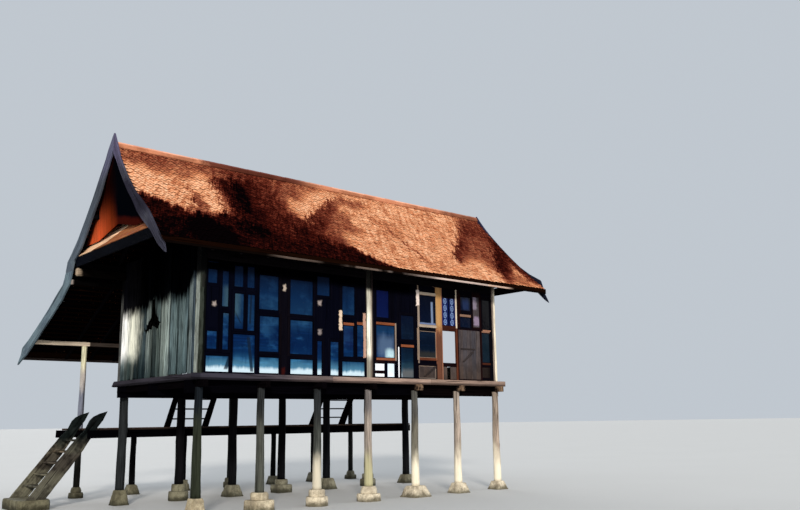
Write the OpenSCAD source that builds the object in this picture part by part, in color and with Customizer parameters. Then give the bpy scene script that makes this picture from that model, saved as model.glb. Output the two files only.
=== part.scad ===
// Timber stilt house: a long room on two rows of posts with a glazed front,
// plank end walls and back wall, a lower verandah floor behind under a
// lean-to roof, and a steep tiled roof that sags gently from ridge to eave.
// X runs along the front wall, Y from the front to the back, Z up.

/* [Posts and floors] */
// Spacing of the posts along the house
bay = 1300; // [1200:10:1400]
// Distance from the front post row to the back post row
body_d = 3270; // [3100:10:3400]
// Distance from the back post row to the verandah post row
ver_d = 2410; // [2300:10:2500]
// Height of the top of the sill boards above the ground
floor_z = 2500; // [2400:10:2700]
// Height of the verandah floor above the ground
plat_z = 1540; // [1440:10:1600]
// Diameter of a front post at its foot
post_d = 180; // [150:5:200]
// Diameter of a back post at its foot
back_d = 185; // [150:5:185]
// Diameter of a front post at its head
post_top_d = 135; // [110:5:138]

/* [Roof] */
// Height of the tiled surface at the ridge
ridge_z = 7020; // [6950:10:7150]
// Slope of the roof at the ridge, rise over run
slope_top = 1.12; // [1.10:0.01:1.16]
// Slope of the roof at the eave, rise over run
slope_eave = 0.80; // [0.78:0.01:0.84]
// Horizontal distance from the ridge to the eave
roof_run = 2320; // [2290:5:2350]
// Overhang of the roof past the left end wall
over_l = 1167; // [1100:1:1250]
// Overhang of the roof past the right end wall
over_r = 1320; // [1200:10:1350]
// Thickness of the tiles and battens, measured upright
tile_t = 90; // [80:5:100]
// Depth of a rafter, measured upright
rafter_h = 100; // [90:5:105]
// Thickness of a bargeboard
barge_t = 40; // [30:5:50]

/* [Walls] */
// Thickness of wall planks
plank_t = 25; // [20:1:30]
// Side of a squared wall post
wall_post = 120; // [100:10:130]
// Depth of the window frames
frame_t = 50; // [40:5:60]
// Height of the window frames above the sill top
frame_h = 2110; // [2090:10:2150]

/* [Stairs] */
// Width of the entry stair over its two planks
stair_w = 1045; // [1000:5:1080]
// Width of an entry stair plank
string_w = 280; // [260:10:290]
// Width of each inner stair
inner_w = 970; // [900:10:1000]

/* [Hidden] */
$fn = 48;
e = 0.001;

n_post = 7;
len_x = (n_post - 1) * bay;
ridge_y = body_d / 2;
ver_y = body_d + ver_d;
curve = (slope_top - slope_eave) / roof_run;

// The sag of the roof, and the tiled surface that follows it in straight runs
roof_n = 8;
seg = roof_run / roof_n;
function curve_at(d) = ridge_z - slope_top * d + curve * d * d / 2;
// Height of the tiled surface at a distance d from the ridge
function roof_at(d) =
  let (k = max(0, min(roof_n - 1, floor(d / seg + e))))
  curve_at(k * seg) + (curve_at((k + 1) * seg) - curve_at(k * seg)) * (d - k * seg) / seg;
// Distance from the ridge at which the tiled surface is at height z
function run_at(z) = (slope_top - sqrt(slope_top * slope_top - 2 * curve * (ridge_z - z))) / curve;

// Roof of the verandah: a straight slope below the back eave
// The back wall stands out past the back posts by wall_out.
wall_out = 270;
y_b = body_d + wall_out;
ver_slope = 0.514;
ver_top_z = 4830;
ver_eave_y = ver_y + 800;
function ver_roof_at(y) = ver_top_z - ver_slope * (y - body_d - 85);
ver_tile_t = 60;
ver_rafter_h = 50;

cross_h = 130;
cross_z = floor_z - 250;
joist_z = cross_z + cross_h;
long_h = 230;
long_z = joist_z - long_h;
joist_h = 60;
board_z = joist_z + joist_h;
board_t = 30;
sill_h = 120;
half_p = wall_post / 2;
gap = 2;

plate_h = 120;
plate_top = roof_at(ridge_y + half_p) - tile_t - rafter_h;
plate_z = plate_top - plate_h;
back_plate_top = roof_at(y_b - ridge_y) - tile_t - rafter_h;
back_plate_z = back_plate_top - plate_h;

x_left = -over_l;
x_right = len_x + over_r;
x_in_l = x_left + barge_t;
x_in_r = x_right - barge_t;

// Entry stair: the planks lean on the left edge of the verandah floor
stair_slope = 1.28;
stair_a = atan(stair_slope);
plat_x = -370;
string_half = string_w / 2 / sin(stair_a);
foot_x = plat_x - string_half - plat_z / stair_slope;
stair_y = body_d + 158;
step_h = 200;

// The origin is on the ground, in the middle of the whole outline
mid_x = (foot_x - string_half + x_right) / 2;
tip_front_y = ridge_y - 2500;
tip_back_y = ver_y + 1005;
mid_y = (tip_front_y + tip_back_y) / 2;

wood_grey = [0.42, 0.40, 0.38];
wood_dark = [0.20, 0.17, 0.15];
wood_pale = [0.72, 0.68, 0.62];
wood_brown = [0.50, 0.33, 0.20];
tile_red = [0.72, 0.42, 0.28];
stone = [0.84, 0.80, 0.70];
pane_blue = [0.30, 0.48, 0.66];
navy = [0.14, 0.15, 0.22];

module in_place() translate([-mid_x, -mid_y, 0]) children();

// A box given by its two corners
module box(a, b) translate(a) cube([b[0] - a[0], b[1] - a[1], b[2] - a[2]]);

// An outline drawn in Y and Z, made x1 to x2 thick along X
module along_x(x1, x2) translate([x1, 0, 0]) rotate([90, 0, 90]) linear_extrude(x2 - x1) children();

// An outline drawn in X and Z, made y1 to y2 thick along Y
module along_y(y1, y2) translate([0, y2, 0]) rotate([90, 0, 0]) linear_extrude(y2 - y1) children();

// ---- posts and their bases ----

// Kinds: 0 disc on a square block, 1 two discs, 2 rounded stone on a block, 3 tapered block
base_kind = [3, 0, 1, 2, 3, 3, 3];
base_h = [320, 340, 310, 300, 230, 220, 190];
base_w = [340, 440, 440, 440, 540, 410, 380];
back_kind = [3, 1, 3, 0, 3, 1, 3];
back_h = [300, 340, 250, 300, 260, 300, 220];
back_w = [330, 420, 400, 400, 440, 400, 380];
ver_kind = [2, 3, 3, 1, 3, 3, 2];
ver_h = [240, 220, 260, 240, 220, 250, 230];
ver_w = [300, 320, 320, 320, 300, 320, 300];

module block_taper(w, top, h) linear_extrude(h, scale = top / w) square(w, center = true);

module base(kind, w, h) {
  if (kind == 0) {
    translate([-w / 2, -w / 2, 0]) cube([w, w, h * 0.6]);
    translate([0, 0, h * 0.6]) cylinder(h = h * 0.4, d = w * 0.76);
  }
  if (kind == 1) {
    cylinder(h = h * 0.58, d = w);
    translate([0, 0, h * 0.58]) cylinder(h = h * 0.42, d = w * 0.74);
  }
  if (kind == 2) {
    cylinder(h = h * 0.5, d = w);
    translate([0, 0, h * 0.5]) cylinder(h = h * 0.5, d1 = w * 0.76, d2 = w * 0.58);
  }
  if (kind == 3) block_taper(w, w * 0.62, h);
}

module base_row(y, kind, w, h)
  for (i = [0 : n_post - 1]) translate([i * bay, y, 0]) base(kind[i], w[i], h[i]);

module post_row(y, h, d1, d2, top)
  for (i = [0 : n_post - 1])
    translate([i * bay, y, h[i]]) cylinder(h = top - h[i], d1 = d1, d2 = d2);

module post_bases() color(stone) in_place() {
  base_row(0, base_kind, base_w, base_h);
  base_row(body_d, back_kind, back_w, back_h);
  base_row(ver_y, ver_kind, ver_w, ver_h);
  // the flat stone under the foot of the entry stair
  box([foot_x - string_half, stair_y - 30, 0], [foot_x + 460, stair_y + stair_w + 30, step_h]);
}
module house_posts() color(wood_grey) in_place() {
  post_row(0, base_h, post_d, post_top_d, cross_z);
  post_row(body_d, back_h, back_d, back_d - 15, cross_z);
}

// Every third verandah post runs up to the roof, the others stop under the boards
module verandah_posts() color(wood_grey) in_place()
  for (i = [0 : n_post - 1])
    translate([i * bay, ver_y, ver_h[i]])
      cylinder(h = (i % 3 == 0 ? ver_pur_z : plat_z - 40) - ver_h[i], d1 = 140, d2 = i % 3 == 0 ? 120 : 130);

// ---- house floor ----

module cross_beam_shapes(grow)
  for (i = [0 : n_post - 1])
    box([i * bay - 55 - grow, -250, cross_z - grow], [i * bay + 55 + grow, y_b, joist_z + grow]);

module cross_beams() color(wood_dark) in_place() cross_beam_shapes(0);

// The long beams are notched over the cross beams
module long_beams() color(wood_dark) in_place()
  difference() {
    for (y = [130, ridge_y, body_d - 160])
      box([-200, y - 60, long_z], [len_x + 200, y + 60, joist_z]);
    cross_beam_shapes(0.5);
  }

joist_n = 18;
module floor_joists() color(wood_dark) in_place()
  for (i = [0 : joist_n - 1]) {
    x = 130 + i * (len_x - 260) / (joist_n - 1);
    box([x - 30, -half_p, joist_z], [x + 30, y_b, board_z]);
  }

// Squared posts that stand in the front wall: left face, right face and back face
front_stand = [[-half_p, half_p, 130], [3 * bay - 80, 3 * bay + 110, half_p], [len_x - half_p, len_x + half_p, 130]];

module stand_shapes(grow, z1, z2, zb) {
  for (p = front_stand) box([p[0] - grow, -half_p - grow, z1], [p[1] + grow, p[2] + grow, z2]);
  for (i = [0 : n_post - 1])
    box([i * bay - half_p - grow, y_b - wall_post - grow, z1], [i * bay + half_p + grow, y_b + grow, zb]);
}

module floor_boards() color(wood_brown) in_place()
  difference() {
    box([-30, -8, board_z], [len_x + 30, y_b - plank_t - 3, board_z + board_t]);
    stand_shapes(1, board_z - 1, board_z + board_t + 1, board_z + board_t + 1);
  }

// An edge board whose back end runs past the corner and is cut to a point
module side_sill(x) {
  box([x, -half_p + gap, floor_z - sill_h], [x + 50, y_b + 60, floor_z]);
  along_x(x, x + 50) polygon([[y_b + 60, floor_z - sill_h], [y_b + 170, floor_z - sill_h + 15], [y_b + 60, floor_z]]);
}

module sill_boards() color(wood_grey) in_place() {
  // front, with its ends run past the corners
  box([-200, -half_p - 60, floor_z - sill_h], [len_x + 270, -half_p, floor_z]);
  // back
  box([-half_p + gap, y_b, floor_z - sill_h], [len_x + half_p - gap, y_b + 40, floor_z]);
  side_sill(-half_p - 50);
  side_sill(len_x + half_p);
}

// ---- verandah floor ----

beam_h = 160;
vb_z = plat_z - 40 - beam_h;
vb_y1 = body_d + 90;
vb_y2 = ver_y - 162;
module verandah_beams() color(wood_dark) in_place() {
  box([-680, vb_y1, vb_z], [len_x + 260, vb_y1 + 60, vb_z + beam_h]);
  box([-560, vb_y2, vb_z], [len_x + 260, vb_y2 + 90, vb_z + beam_h]);
}

vj_n = 13;
module verandah_joists() color(wood_dark) in_place()
  for (i = [0 : vj_n - 1]) {
    x = -250 + i * (len_x + 400) / (vj_n - 1);
    box([x - 30, vb_y1 + 60, plat_z - 140], [x + 30, vb_y2, plat_z - 40]);
  }

// The boards are cut round the posts that run up to the roof
module verandah_floor() color(wood_brown) in_place()
  difference() {
    box([plat_x, vb_y1, plat_z - 40], [len_x + 250, ver_y + 85, plat_z]);
    for (i = [0 : 3 : n_post - 1])
      box([i * bay - 75, ver_y - 75, plat_z - 41], [i * bay + 75, ver_y + 75, plat_z + 1]);
  }

// ---- stairs ----

// One plank of the entry stair: flat on the stone, its head cut to a beak
module entry_plank()
  polygon([
    [foot_x - string_half + step_h / stair_slope, step_h],
    [foot_x + string_half + step_h / stair_slope, step_h],
    [plat_x - 440, 990],
    [plat_x - 190, 1380],
    [plat_x - 95, 1550],
    [plat_x + 15, 1700],
    [plat_x + 100, 1880],
    [plat_x - 55, 1835],
    [plat_x - 180, 1775],
    [plat_x - 255, 1700],
    [plat_x - 345, 1510],
    [plat_x - 480, 1380]
  ]);

module entry_stair_planks() color(wood_dark) in_place()
  for (y = [stair_y, stair_y + stair_w - 45]) along_y(y, y + 45) entry_plank();

tread_n = 6;
module entry_stair_treads() color(wood_dark) in_place()
  for (i = [2 : tread_n]) {
    z = i * plat_z / (tread_n + 1);
    x = foot_x + z / stair_slope;
    box([x - 110, stair_y + 45, z - 35], [x + 120, stair_y + stair_w - 45, z]);
  }

inner_x = [bay - 30, 4 * bay];
inner_y0 = body_d + 630;
inner_slope = 0.6;
function inner_y(z) = inner_y0 - (z - plat_z) * inner_slope;

// One plank: wide at its foot, its head level under the floor
module inner_plank(top)
  polygon([
    [inner_y0 - 120, plat_z], [inner_y0 + 150, plat_z],
    [inner_y(top) + 105, top], [inner_y(top) - 105, top]
  ]);

// The left plank stops under a cross beam, the right one under the boards
module inner_stair_planks() color(wood_grey) in_place()
  for (x = inner_x) {
    along_x(x, x + 35) inner_plank(cross_z);
    along_x(x + inner_w - 35, x + inner_w) inner_plank(board_z);
  }

module inner_stair_treads() color(wood_grey) in_place()
  for (x = inner_x, i = [1 : 3]) {
    z = plat_z + i * 215 - 25;
    box([x + 35, inner_y(z) - 85, z - 30], [x + inner_w - 35, inner_y(z) + 85, z]);
  }

// ---- walls ----

module wall_posts() color(wood_pale) in_place()
  stand_shapes(0, joist_z, plate_z, back_plate_z);

// Front wall: three sheets of joined frames, cut by the lights. A light is
// [left, right, foot, head], the foot and head measured up from the sill top.
head_z = floor_z + frame_h;
fy0 = -half_p;
fy1 = fy0 + frame_t;

// the lights with glass, from left to right
glass_lights = [
  [80, 300, 2040, 2070], [80, 290, 1650, 1930], [380, 530, 1230, 1920], [410, 550, 430, 1130],
  [90, 310, 430, 780], [80, 570, 20, 330],
  [630, 840, 1630, 2050], [910, 1090, 1630, 2060], [650, 860, 830, 1520], [930, 1100, 810, 1520],
  [630, 1120, 20, 750],
  [1180, 1630, 1240, 1930], [1200, 1650, 430, 1130], [1210, 1660, 20, 340],
  [1890, 2450, 1200, 1910], [1900, 2450, 410, 1100], [1910, 2460, 20, 330],
  [2540, 2870, 1630, 2040], [2550, 2680, 20, 720], [2880, 3100, 20, 720],
  [3180, 3520, 1280, 1900], [3210, 3490, 410, 1070], [3570, 3760, 420, 1100], [3180, 3780, 20, 330],
  [4100, 4460, 1290, 1900], [4090, 4620, 430, 1140], [4050, 4330, 150, 320], [4050, 4330, 20, 110],
  [4390, 4610, 20, 330], [4700, 4760, 20, 700],
  [4800, 5190, 850, 1400], [4790, 5170, 20, 690],
  [5350, 5880, 1220, 1910], [5330, 5850, 480, 1080],
  [6660, 7030, 1630, 1970], [6640, 7010, 1230, 1490], [7400, 7680, 1220, 1950], [7360, 7640, 430, 1150]
];
// the lights closed with boards
board_lights = [
  [5310, 5830, 20, 300], [6570, 7310, 20, 1190], [7080, 7310, 1250, 2000], [7340, 7620, 70, 330]
];
// the unit with the unglazed light: from, to, and its three lights
open_unit = [6010, 6540];
open_light = [6060, 6490, 390, 1120];
pattern_light = [6060, 6500, 1240, 1900];
low_light = [6060, 6490, 20, 300];

module light_hole(l) box([l[0], fy0 - 1, floor_z + l[2]], [l[1], fy1 + 1, floor_z + l[3]]);
module light_fill(l, y1, y2) box([l[0], y1, floor_z + l[2]], [l[1], y2, floor_z + l[3]]);

module front_window_frames() color(navy) in_place()
  difference() {
    for (x = [[front_stand[0][1], front_stand[1][0]], [front_stand[1][1], open_unit[0] - gap], [open_unit[1] + gap, front_stand[2][0]]])
      box([x[0], fy0, board_z], [x[1], fy1, head_z]);
    for (l = glass_lights) light_hole(l);
    for (l = board_lights) light_hole(l);
  }

module open_window_frame() color(wood_brown) in_place()
  difference() {
    box([open_unit[0], fy0, board_z], [open_unit[1], fy1, head_z]);
    light_hole(open_light);
    light_hole(pattern_light);
    light_hole(low_light);
  }

module front_glass() color(pane_blue) in_place() {
  for (l = glass_lights) light_fill(l, fy0 + 22, fy0 + 28);
  light_fill(pattern_light, fy0 + 22, fy0 + 28);
}

// A brace from one corner to the other of [x1, x2, z1, z2], in front of a panel
module brace(l)
  along_y(fy0, fy0 + 15) polygon([
    [l[0], floor_z + l[2]], [l[0] + 60, floor_z + l[2]], [l[1], floor_z + l[3] - 45], [l[1], floor_z + l[3]], [l[1] - 40, floor_z + l[3]]
  ]);

module front_wall_panels() color(wood_grey) in_place() {
  for (l = board_lights) light_fill(l, fy0 + 15, fy0 + 35);
  brace([5450, 5820, 60, 295]);
  brace([6680, 7060, 425, 690]);
  box([6640, fy0, floor_z + 715], [7120, fy0 + 15, floor_z + 750]);
  // two boards with a slot between them
  box([low_light[0], fy0 + 15, floor_z + low_light[2]], [low_light[0] + 130, fy0 + 35, floor_z + low_light[3]]);
  box([low_light[1] - 190, fy0 + 15, floor_z + low_light[2]], [low_light[1], fy0 + 35, floor_z + low_light[3]]);
}

module front_wall_head() color(wood_dark) in_place()
  for (k = [0, 1])
    box([front_stand[k][1], fy0, head_z], [front_stand[k + 1][0], fy0 + plank_t, plate_z]);

// Upright planks, one of them broken away
module left_wall() color(wood_pale) in_place()
  difference() {
    box([-half_p, front_stand[0][2], joist_z], [-half_p + plank_t, y_b - wall_post, plate_z]);
    along_x(-half_p - 1, -half_p + plank_t + 1) polygon([
      [2040, 4060], [1850, 4040], [1825, 3720], [1685, 3670], [1665, 3460], [1945, 3550], [2210, 3410], [2260, 3460], [2010, 3730]
    ]);
  }

win_y = [1100, 2100];
win_z = [floor_z + 430, floor_z + 1750];
module right_wall() color(wood_pale) in_place()
  difference() {
    box([len_x + half_p - plank_t, front_stand[2][2], joist_z], [len_x + half_p, y_b - wall_post, plate_z]);
    box([len_x - 1, win_y[0], win_z[0]], [len_x + half_p + 1, win_y[1], win_z[1]]);
  }

door_x = [bay + half_p, 4 * bay + half_p];
door_w = 800;
door_top = floor_z + 1850;
wall_y = y_b - plank_t;
back_win = [[2950, 3550], [4200, 4800]];

module back_sheet(x1, x2) box([x1, wall_y, board_z], [x2, y_b, back_plate_z]);

module back_wall() color(wood_pale) in_place() {
  for (i = [0, 5]) back_sheet(i * bay + half_p, (i + 1) * bay - half_p);
  for (i = [0, 1]) back_sheet(door_x[i] + door_w, (3 * i + 2) * bay - half_p);
  for (i = [2, 3]) difference() {
    back_sheet(i * bay + half_p, (i + 1) * bay - half_p);
    for (w = back_win) box([w[0], wall_y - 1, floor_z + 430], [w[1], y_b + 1, floor_z + 1750]);
  }
}

module back_wall_over_doors() color(wood_pale) in_place()
  for (x = door_x) box([x, wall_y, door_top], [x + door_w, y_b, back_plate_z]);

module back_window_frames() color(wood_brown) in_place()
  for (w = back_win) difference() {
    box([w[0], wall_y - 30, floor_z + 430], [w[1], y_b, floor_z + 1750]);
    box([w[0] + 50, wall_y - 31, floor_z + 480], [w[1] - 50, y_b + 1, floor_z + 1700]);
  }
module back_glass() color(pane_blue) in_place()
  for (w = back_win) box([w[0] + 50, wall_y, floor_z + 480], [w[1] - 50, wall_y + 6, floor_z + 1700]);

// ---- roof frame ----

module wall_plates() color(wood_dark) in_place() {
  box([x_in_l + 30, -half_p, plate_z], [x_in_r - 30, half_p, plate_top]);
  box([x_in_l + 30, y_b - wall_post, back_plate_z], [x_in_r - 30, y_b, back_plate_top]);
}

// The ties run from the front wall to the back plate, under the front plate
function tie_front(i) = i == 3 ? half_p : i == 0 || i == 6 ? front_stand[0][2] : -half_p + plank_t + 5;
// The outer ties lie inside the end walls
tie_x = [for (i = [0 : n_post - 1]) i == 0 ? 20 : i == 6 ? len_x - 20 : i * bay];
module tie_beams() color(wood_dark) in_place()
  for (i = [0 : n_post - 1])
    box([tie_x[i] - 50, tie_front(i), plate_z - 100], [tie_x[i] + 50, y_b - wall_post, plate_z]);

rb_w = 60;
rb_h = 150;
rb_top = roof_at(rb_w / 2) - tile_t;
module king_posts() color(wood_dark) in_place()
  for (i = [0 : n_post - 1])
    box([i * bay - 45, ridge_y - 45, plate_z], [i * bay + 45, ridge_y + 45, rb_top - rb_h]);

module ridge_beam() color(wood_dark) in_place()
  box([x_in_l, ridge_y - rb_w / 2, rb_top - rb_h], [x_in_r, ridge_y + rb_w / 2, rb_top]);

pur_d = 950;
pur_h = 90;
pur_top = roof_at(pur_d + pur_h / 2) - tile_t - rafter_h;
module purlins() color(wood_dark) in_place()
  for (s = [-1, 1])
    box([x_in_l, ridge_y + s * pur_d - pur_h / 2, pur_top - pur_h], [x_in_r, ridge_y + s * pur_d + pur_h / 2, pur_top]);

// A slope from distance d1 to d2 of the ridge, from depth t1 to t2 under the tiled surface
module slope_band(d1, d2, t1, t2) {
  d = concat([d1], [for (i = [0 : roof_n]) if (i * seg > d1 + 1 && i * seg < d2 - 1) i * seg], [d2]);
  n = len(d) - 1;
  polygon(concat(
    [for (i = [0 : n]) [d[i], roof_at(d[i]) - t1]],
    [for (i = [n : -1 : 0]) [d[i], roof_at(d[i]) - t2]]
  ));
}

raft_n = 15;
module rafters() color(wood_dark) in_place()
  for (i = [0 : raft_n - 1], s = [-1, 1]) {
    x = -150 + i * (len_x + 300) / (raft_n - 1);
    along_x(x - 30, x + 30) translate([ridge_y, 0]) scale_y(s) slope_band(rb_w / 2, roof_run - 40, tile_t, tile_t + rafter_h);
  }

module scale_y(s) { if (s < 0) mirror([1, 0]) children(); else children(); }

// A ledger on the back wall, a beam on the verandah posts, and a short
// bracket from each end wall out to the bargeboards
ledger_top = ver_roof_at(y_b + 80) - ver_tile_t - ver_rafter_h;
ver_pur_h = 90;
ver_pur_z = ver_roof_at(ver_y + 45) - ver_tile_t - ver_rafter_h - ver_pur_h;
module verandah_purlins() color(wood_pale) in_place() {
  box([x_in_l, y_b, ledger_top - 100], [x_in_r, y_b + 80, ledger_top]);
  box([x_in_l, ver_y - 45, ver_pur_z], [x_in_r, ver_y + 45, ver_pur_z + ver_pur_h]);
  box([x_in_l, y_b - 230, 4640], [-half_p, y_b - 130, 4800]);
  box([len_x + half_p, y_b - 230, 4640], [x_in_r, y_b - 130, 4800]);
}

module ver_band(y1, y2, t1, t2)
  polygon([[y1, ver_roof_at(y1) - t1], [y2, ver_roof_at(y2) - t1], [y2, ver_roof_at(y2) - t2], [y1, ver_roof_at(y1) - t2]]);

module verandah_rafters() color(wood_dark) in_place()
  for (i = [0 : raft_n - 1]) {
    x = -150 + i * (len_x + 300) / (raft_n - 1);
    along_x(x - 30, x + 30) ver_band(y_b, ver_eave_y - 60, ver_tile_t, ver_tile_t + ver_rafter_h);
  }

// ---- roof covering ----

module front_roof() color(tile_red) in_place()
  along_x(x_in_l, x_in_r) translate([ridge_y, 0]) mirror([1, 0]) slope_band(0, roof_run, 0, tile_t);

module back_roof() color(tile_red) in_place()
  along_x(x_in_l, x_in_r) translate([ridge_y, 0]) slope_band(0, roof_run, 0, tile_t);

module verandah_roof() color(tile_red) in_place()
  along_x(x_in_l, x_in_r) ver_band(y_b, ver_eave_y, 0, ver_tile_t);

module ridge_cap() color([0.88, 0.63, 0.50]) in_place()
  along_x(x_in_l, x_in_r) polygon([
    [ridge_y - 65, roof_at(65)], [ridge_y, roof_at(0)], [ridge_y + 65, roof_at(65)],
    [ridge_y + 65, roof_at(65) + 20], [ridge_y + 26, roof_at(0) + 44], [ridge_y, roof_at(0) + 68],
    [ridge_y - 26, roof_at(0) + 44], [ridge_y - 65, roof_at(65) + 20]
  ]);

// ---- bargeboards and gables ----

// Outer and inner edges of the bargeboards as [distance from the ridge, height
// over the tiled surface]. The left pair keeps its tall peak, the right pair
// has lost it.
front_outer = [[0, 230], [250, 82], [310, 33], [410, 14], [620, -21], [840, -40], [1100, -34], [1460, 35], [1760, 63], [1960, 13], [2160, -34], [2340, -93]];
front_inner = [[2120, -241], [1890, -221], [1530, -286], [1240, -315], [1050, -273], [790, -285], [570, -260], [370, -230], [180, -184], [70, -175], [0, -160]];
front_tip = [[2420, 4640], [2500, 4450], [2250, 4600]];
right_outer = [[0, 90], [110, 50], [300, 10], [460, -10], [810, -30], [1140, -40], [1470, -45], [1790, 0], [2150, 95], [2205, -30]];
right_tip = [[2220, 4753], [2375, 4433], [2255, 4522], [2015, 4756]];
back_outer = [[0, 230], [260, 217], [370, 164], [520, 150], [670, 127], [960, 64], [1280, 27], [1640, -4], [1960, 20], [2146, 52]];
back_inner = [[1600, -345], [1430, -393], [1290, -383], [1120, -370], [970, -335], [650, -315], [500, -290], [400, -214], [280, -172], [150, -130], [0, -125]];

function over_roof(l, from = 0, to = 3000) = [for (p = l) if (p[0] >= from && p[0] <= to) [p[0], roof_at(p[0]) + p[1]]];

module front_barge(outer, tip)
  polygon(concat(over_roof(outer), tip, over_roof(front_inner, 0, tip[len(tip) - 1][0])));

// Behind the back eave the board carries on down the verandah roof. It starts
// at the distance d from the ridge, with a height of h over the tiles.
module back_barge(from)
  polygon(concat(
    from[0] > 0 ? [[0, roof_at(0) + from[1]]] : [],
    over_roof(back_outer, from[0]),
    [[2205, 4823], [2265, 4655], [2357, 4523]],
    [for (p = [[2600, 29], [3165, 0], [3550, 10], [3942, 26], [4347, 50], [4700, 100], [4774, 108], [4815, 0]])
      [p[0], ver_roof_at(ridge_y + p[0]) + p[1]]],
    [[tip_back_y - ridge_y, 3000],
     [ver_y + 660 - ridge_y, ver_roof_at(ver_y + 660) - 170], [ver_y + 450 - ridge_y, ver_roof_at(ver_y + 450) - 220],
     [ver_y - 355 - ridge_y, ver_roof_at(ver_y - 355) - 265], [2920, ver_roof_at(ridge_y + 2920) - 285],
     [2390, ver_roof_at(ridge_y + 2390) - 285], [1990, 4480], [1860, 4750], [1780, roof_at(1780) - 280]],
    over_roof(back_inner)
  ));

module left_bargeboards() color([0.35, 0.35, 0.40]) in_place() {
  along_x(x_left, x_in_l) translate([ridge_y, 0]) mirror([1, 0]) front_barge(front_outer, front_tip);
  along_x(x_left, x_in_l) translate([ridge_y, 0]) back_barge([0, 230]);
}
module right_bargeboards() color([0.35, 0.35, 0.40]) in_place() {
  along_x(x_in_r, x_right) translate([ridge_y, 0]) mirror([1, 0]) front_barge(right_outer, right_tip);
  along_x(x_in_r, x_right) translate([ridge_y, 0]) back_barge([300, 90]);
}

// The gable is closed by a skirt that slopes in and up from the band at its
// foot, and before it a screen that leans out to the ridge. The foot of the
// screen is cut to an open V over the skirt.
band_h = 200;
band_t = 30;
band_top = 5020;
fold_in = 560;
fold_z = 5680;
scr_x = 152;
scr_z = 5200;
lean_in = 17;
lean_z = 6740;
scr_t = 25;
vee_z = 5430;
vee_foot = 5255;

function gable_half(z, gap) = run_at(z + tile_t) - gap;

// A board sheet standing in X and Z from (xa, za) to (xb, zb), trimmed to the roof slopes
module gable_sheet(xa, za, xb, zb, gap) {
  l = sqrt((xb - xa) * (xb - xa) + (zb - za) * (zb - za));
  n = 5;
  translate([xa, ridge_y, za]) rotate([0, atan2(xb - xa, zb - za), 0]) rotate([90, 0, 90])
    linear_extrude(scr_t) polygon(concat(
      [for (i = [0 : n]) let (z = za + (zb - za) * i / n) [gable_half(z, gap), l * i / n]],
      [for (i = [n : -1 : 0]) let (z = za + (zb - za) * i / n) [-gable_half(z, gap), l * i / n]]
    ));
}

module frame_notches() {
  box([x_in_l - 1, ridge_y - rb_w / 2 - 2, rb_top - rb_h - 2], [x_in_r + 1, ridge_y + rb_w / 2 + 2, rb_top + 200]);
  for (s = [-1, 1])
    box([x_in_l - 1, ridge_y + s * pur_d - pur_h / 2 - 2, pur_top - pur_h - 2], [x_in_r + 1, ridge_y + s * pur_d + pur_h / 2 + 2, pur_top + 2]);
  box([x_in_l - 1, -half_p - 2, plate_z - 2], [x_in_r + 1, half_p + 2, plate_top + 2]);
  box([x_in_l - 1, y_b - wall_post - 2, back_plate_z - 2], [x_in_r + 1, y_b + 2, back_plate_top + 2]);
}

module skirt_shape() gable_sheet(x_in_l + 5, band_top + 30, x_in_l + fold_in, fold_z, 35);
module screen_shape() difference() {
  gable_sheet(x_in_l + scr_x, scr_z, x_in_l + lean_in, lean_z, 20);
  along_x(x_in_l, x_in_l + 300) polygon([
    [ridge_y, vee_z], [ridge_y + (vee_z - vee_foot) / 0.173, vee_foot], [ridge_y + 2000, vee_foot], [ridge_y + 2000, scr_z - 100],
    [ridge_y - 2000, scr_z - 100], [ridge_y - 2000, vee_foot], [ridge_y - (vee_z - vee_foot) / 0.23, vee_foot]
  ]);
}

module at_right() translate([x_in_l + x_in_r, 0, 0]) mirror([1, 0, 0]) children();

module gable_skirts() color([0.85, 0.72, 0.55]) in_place() difference() {
  union() { skirt_shape(); at_right() skirt_shape(); }
  frame_notches();
}
module gable_screens() color([0.55, 0.25, 0.12]) in_place() difference() {
  union() { screen_shape(); at_right() screen_shape(); }
  frame_notches();
}

module band_shape()
  along_x(x_in_l, x_in_l + band_t) polygon([
    [ridge_y - run_at(band_top + tile_t) + 15, band_top], [ridge_y - run_at(band_top - band_h + tile_t) + 15, band_top - band_h],
    [ridge_y + 1690, band_top - band_h], [ridge_y + run_at(band_top + tile_t) - 15, band_top]
  ]);
module gable_bands() color(navy) in_place() { band_shape(); at_right() band_shape(); }

module eave_boards() color(wood_pale) in_place() {
  z = roof_at(roof_run) - tile_t;
  box([x_in_l, ridge_y - roof_run, z - 40], [x_in_r, ridge_y - roof_run + 30, z]);
  box([x_in_l, ridge_y + roof_run - 30, z - 40], [x_in_r, ridge_y + roof_run, z]);
  zv = ver_roof_at(ver_eave_y) - ver_tile_t;
  box([x_in_l, ver_eave_y - 30, zv - 60], [x_in_r, ver_eave_y, zv]);
}

post_bases();
house_posts();
verandah_posts();
cross_beams();
long_beams();
floor_joists();
floor_boards();
sill_boards();
verandah_beams();
verandah_joists();
verandah_floor();
entry_stair_planks();
entry_stair_treads();
inner_stair_planks();
inner_stair_treads();
wall_posts();
front_window_frames();
open_window_frame();
front_glass();
front_wall_panels();
front_wall_head();
left_wall();
right_wall();
back_wall();
back_wall_over_doors();
back_window_frames();
back_glass();
wall_plates();
tie_beams();
king_posts();
ridge_beam();
purlins();
rafters();
verandah_purlins();
verandah_rafters();
front_roof();
back_roof();
verandah_roof();
ridge_cap();
left_bargeboards();
right_bargeboards();
gable_screens();
gable_skirts();
gable_bands();
eave_boards();
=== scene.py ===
import math

import bmesh
import bpy
import numpy as np
from mathutils import Matrix, Vector


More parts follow.
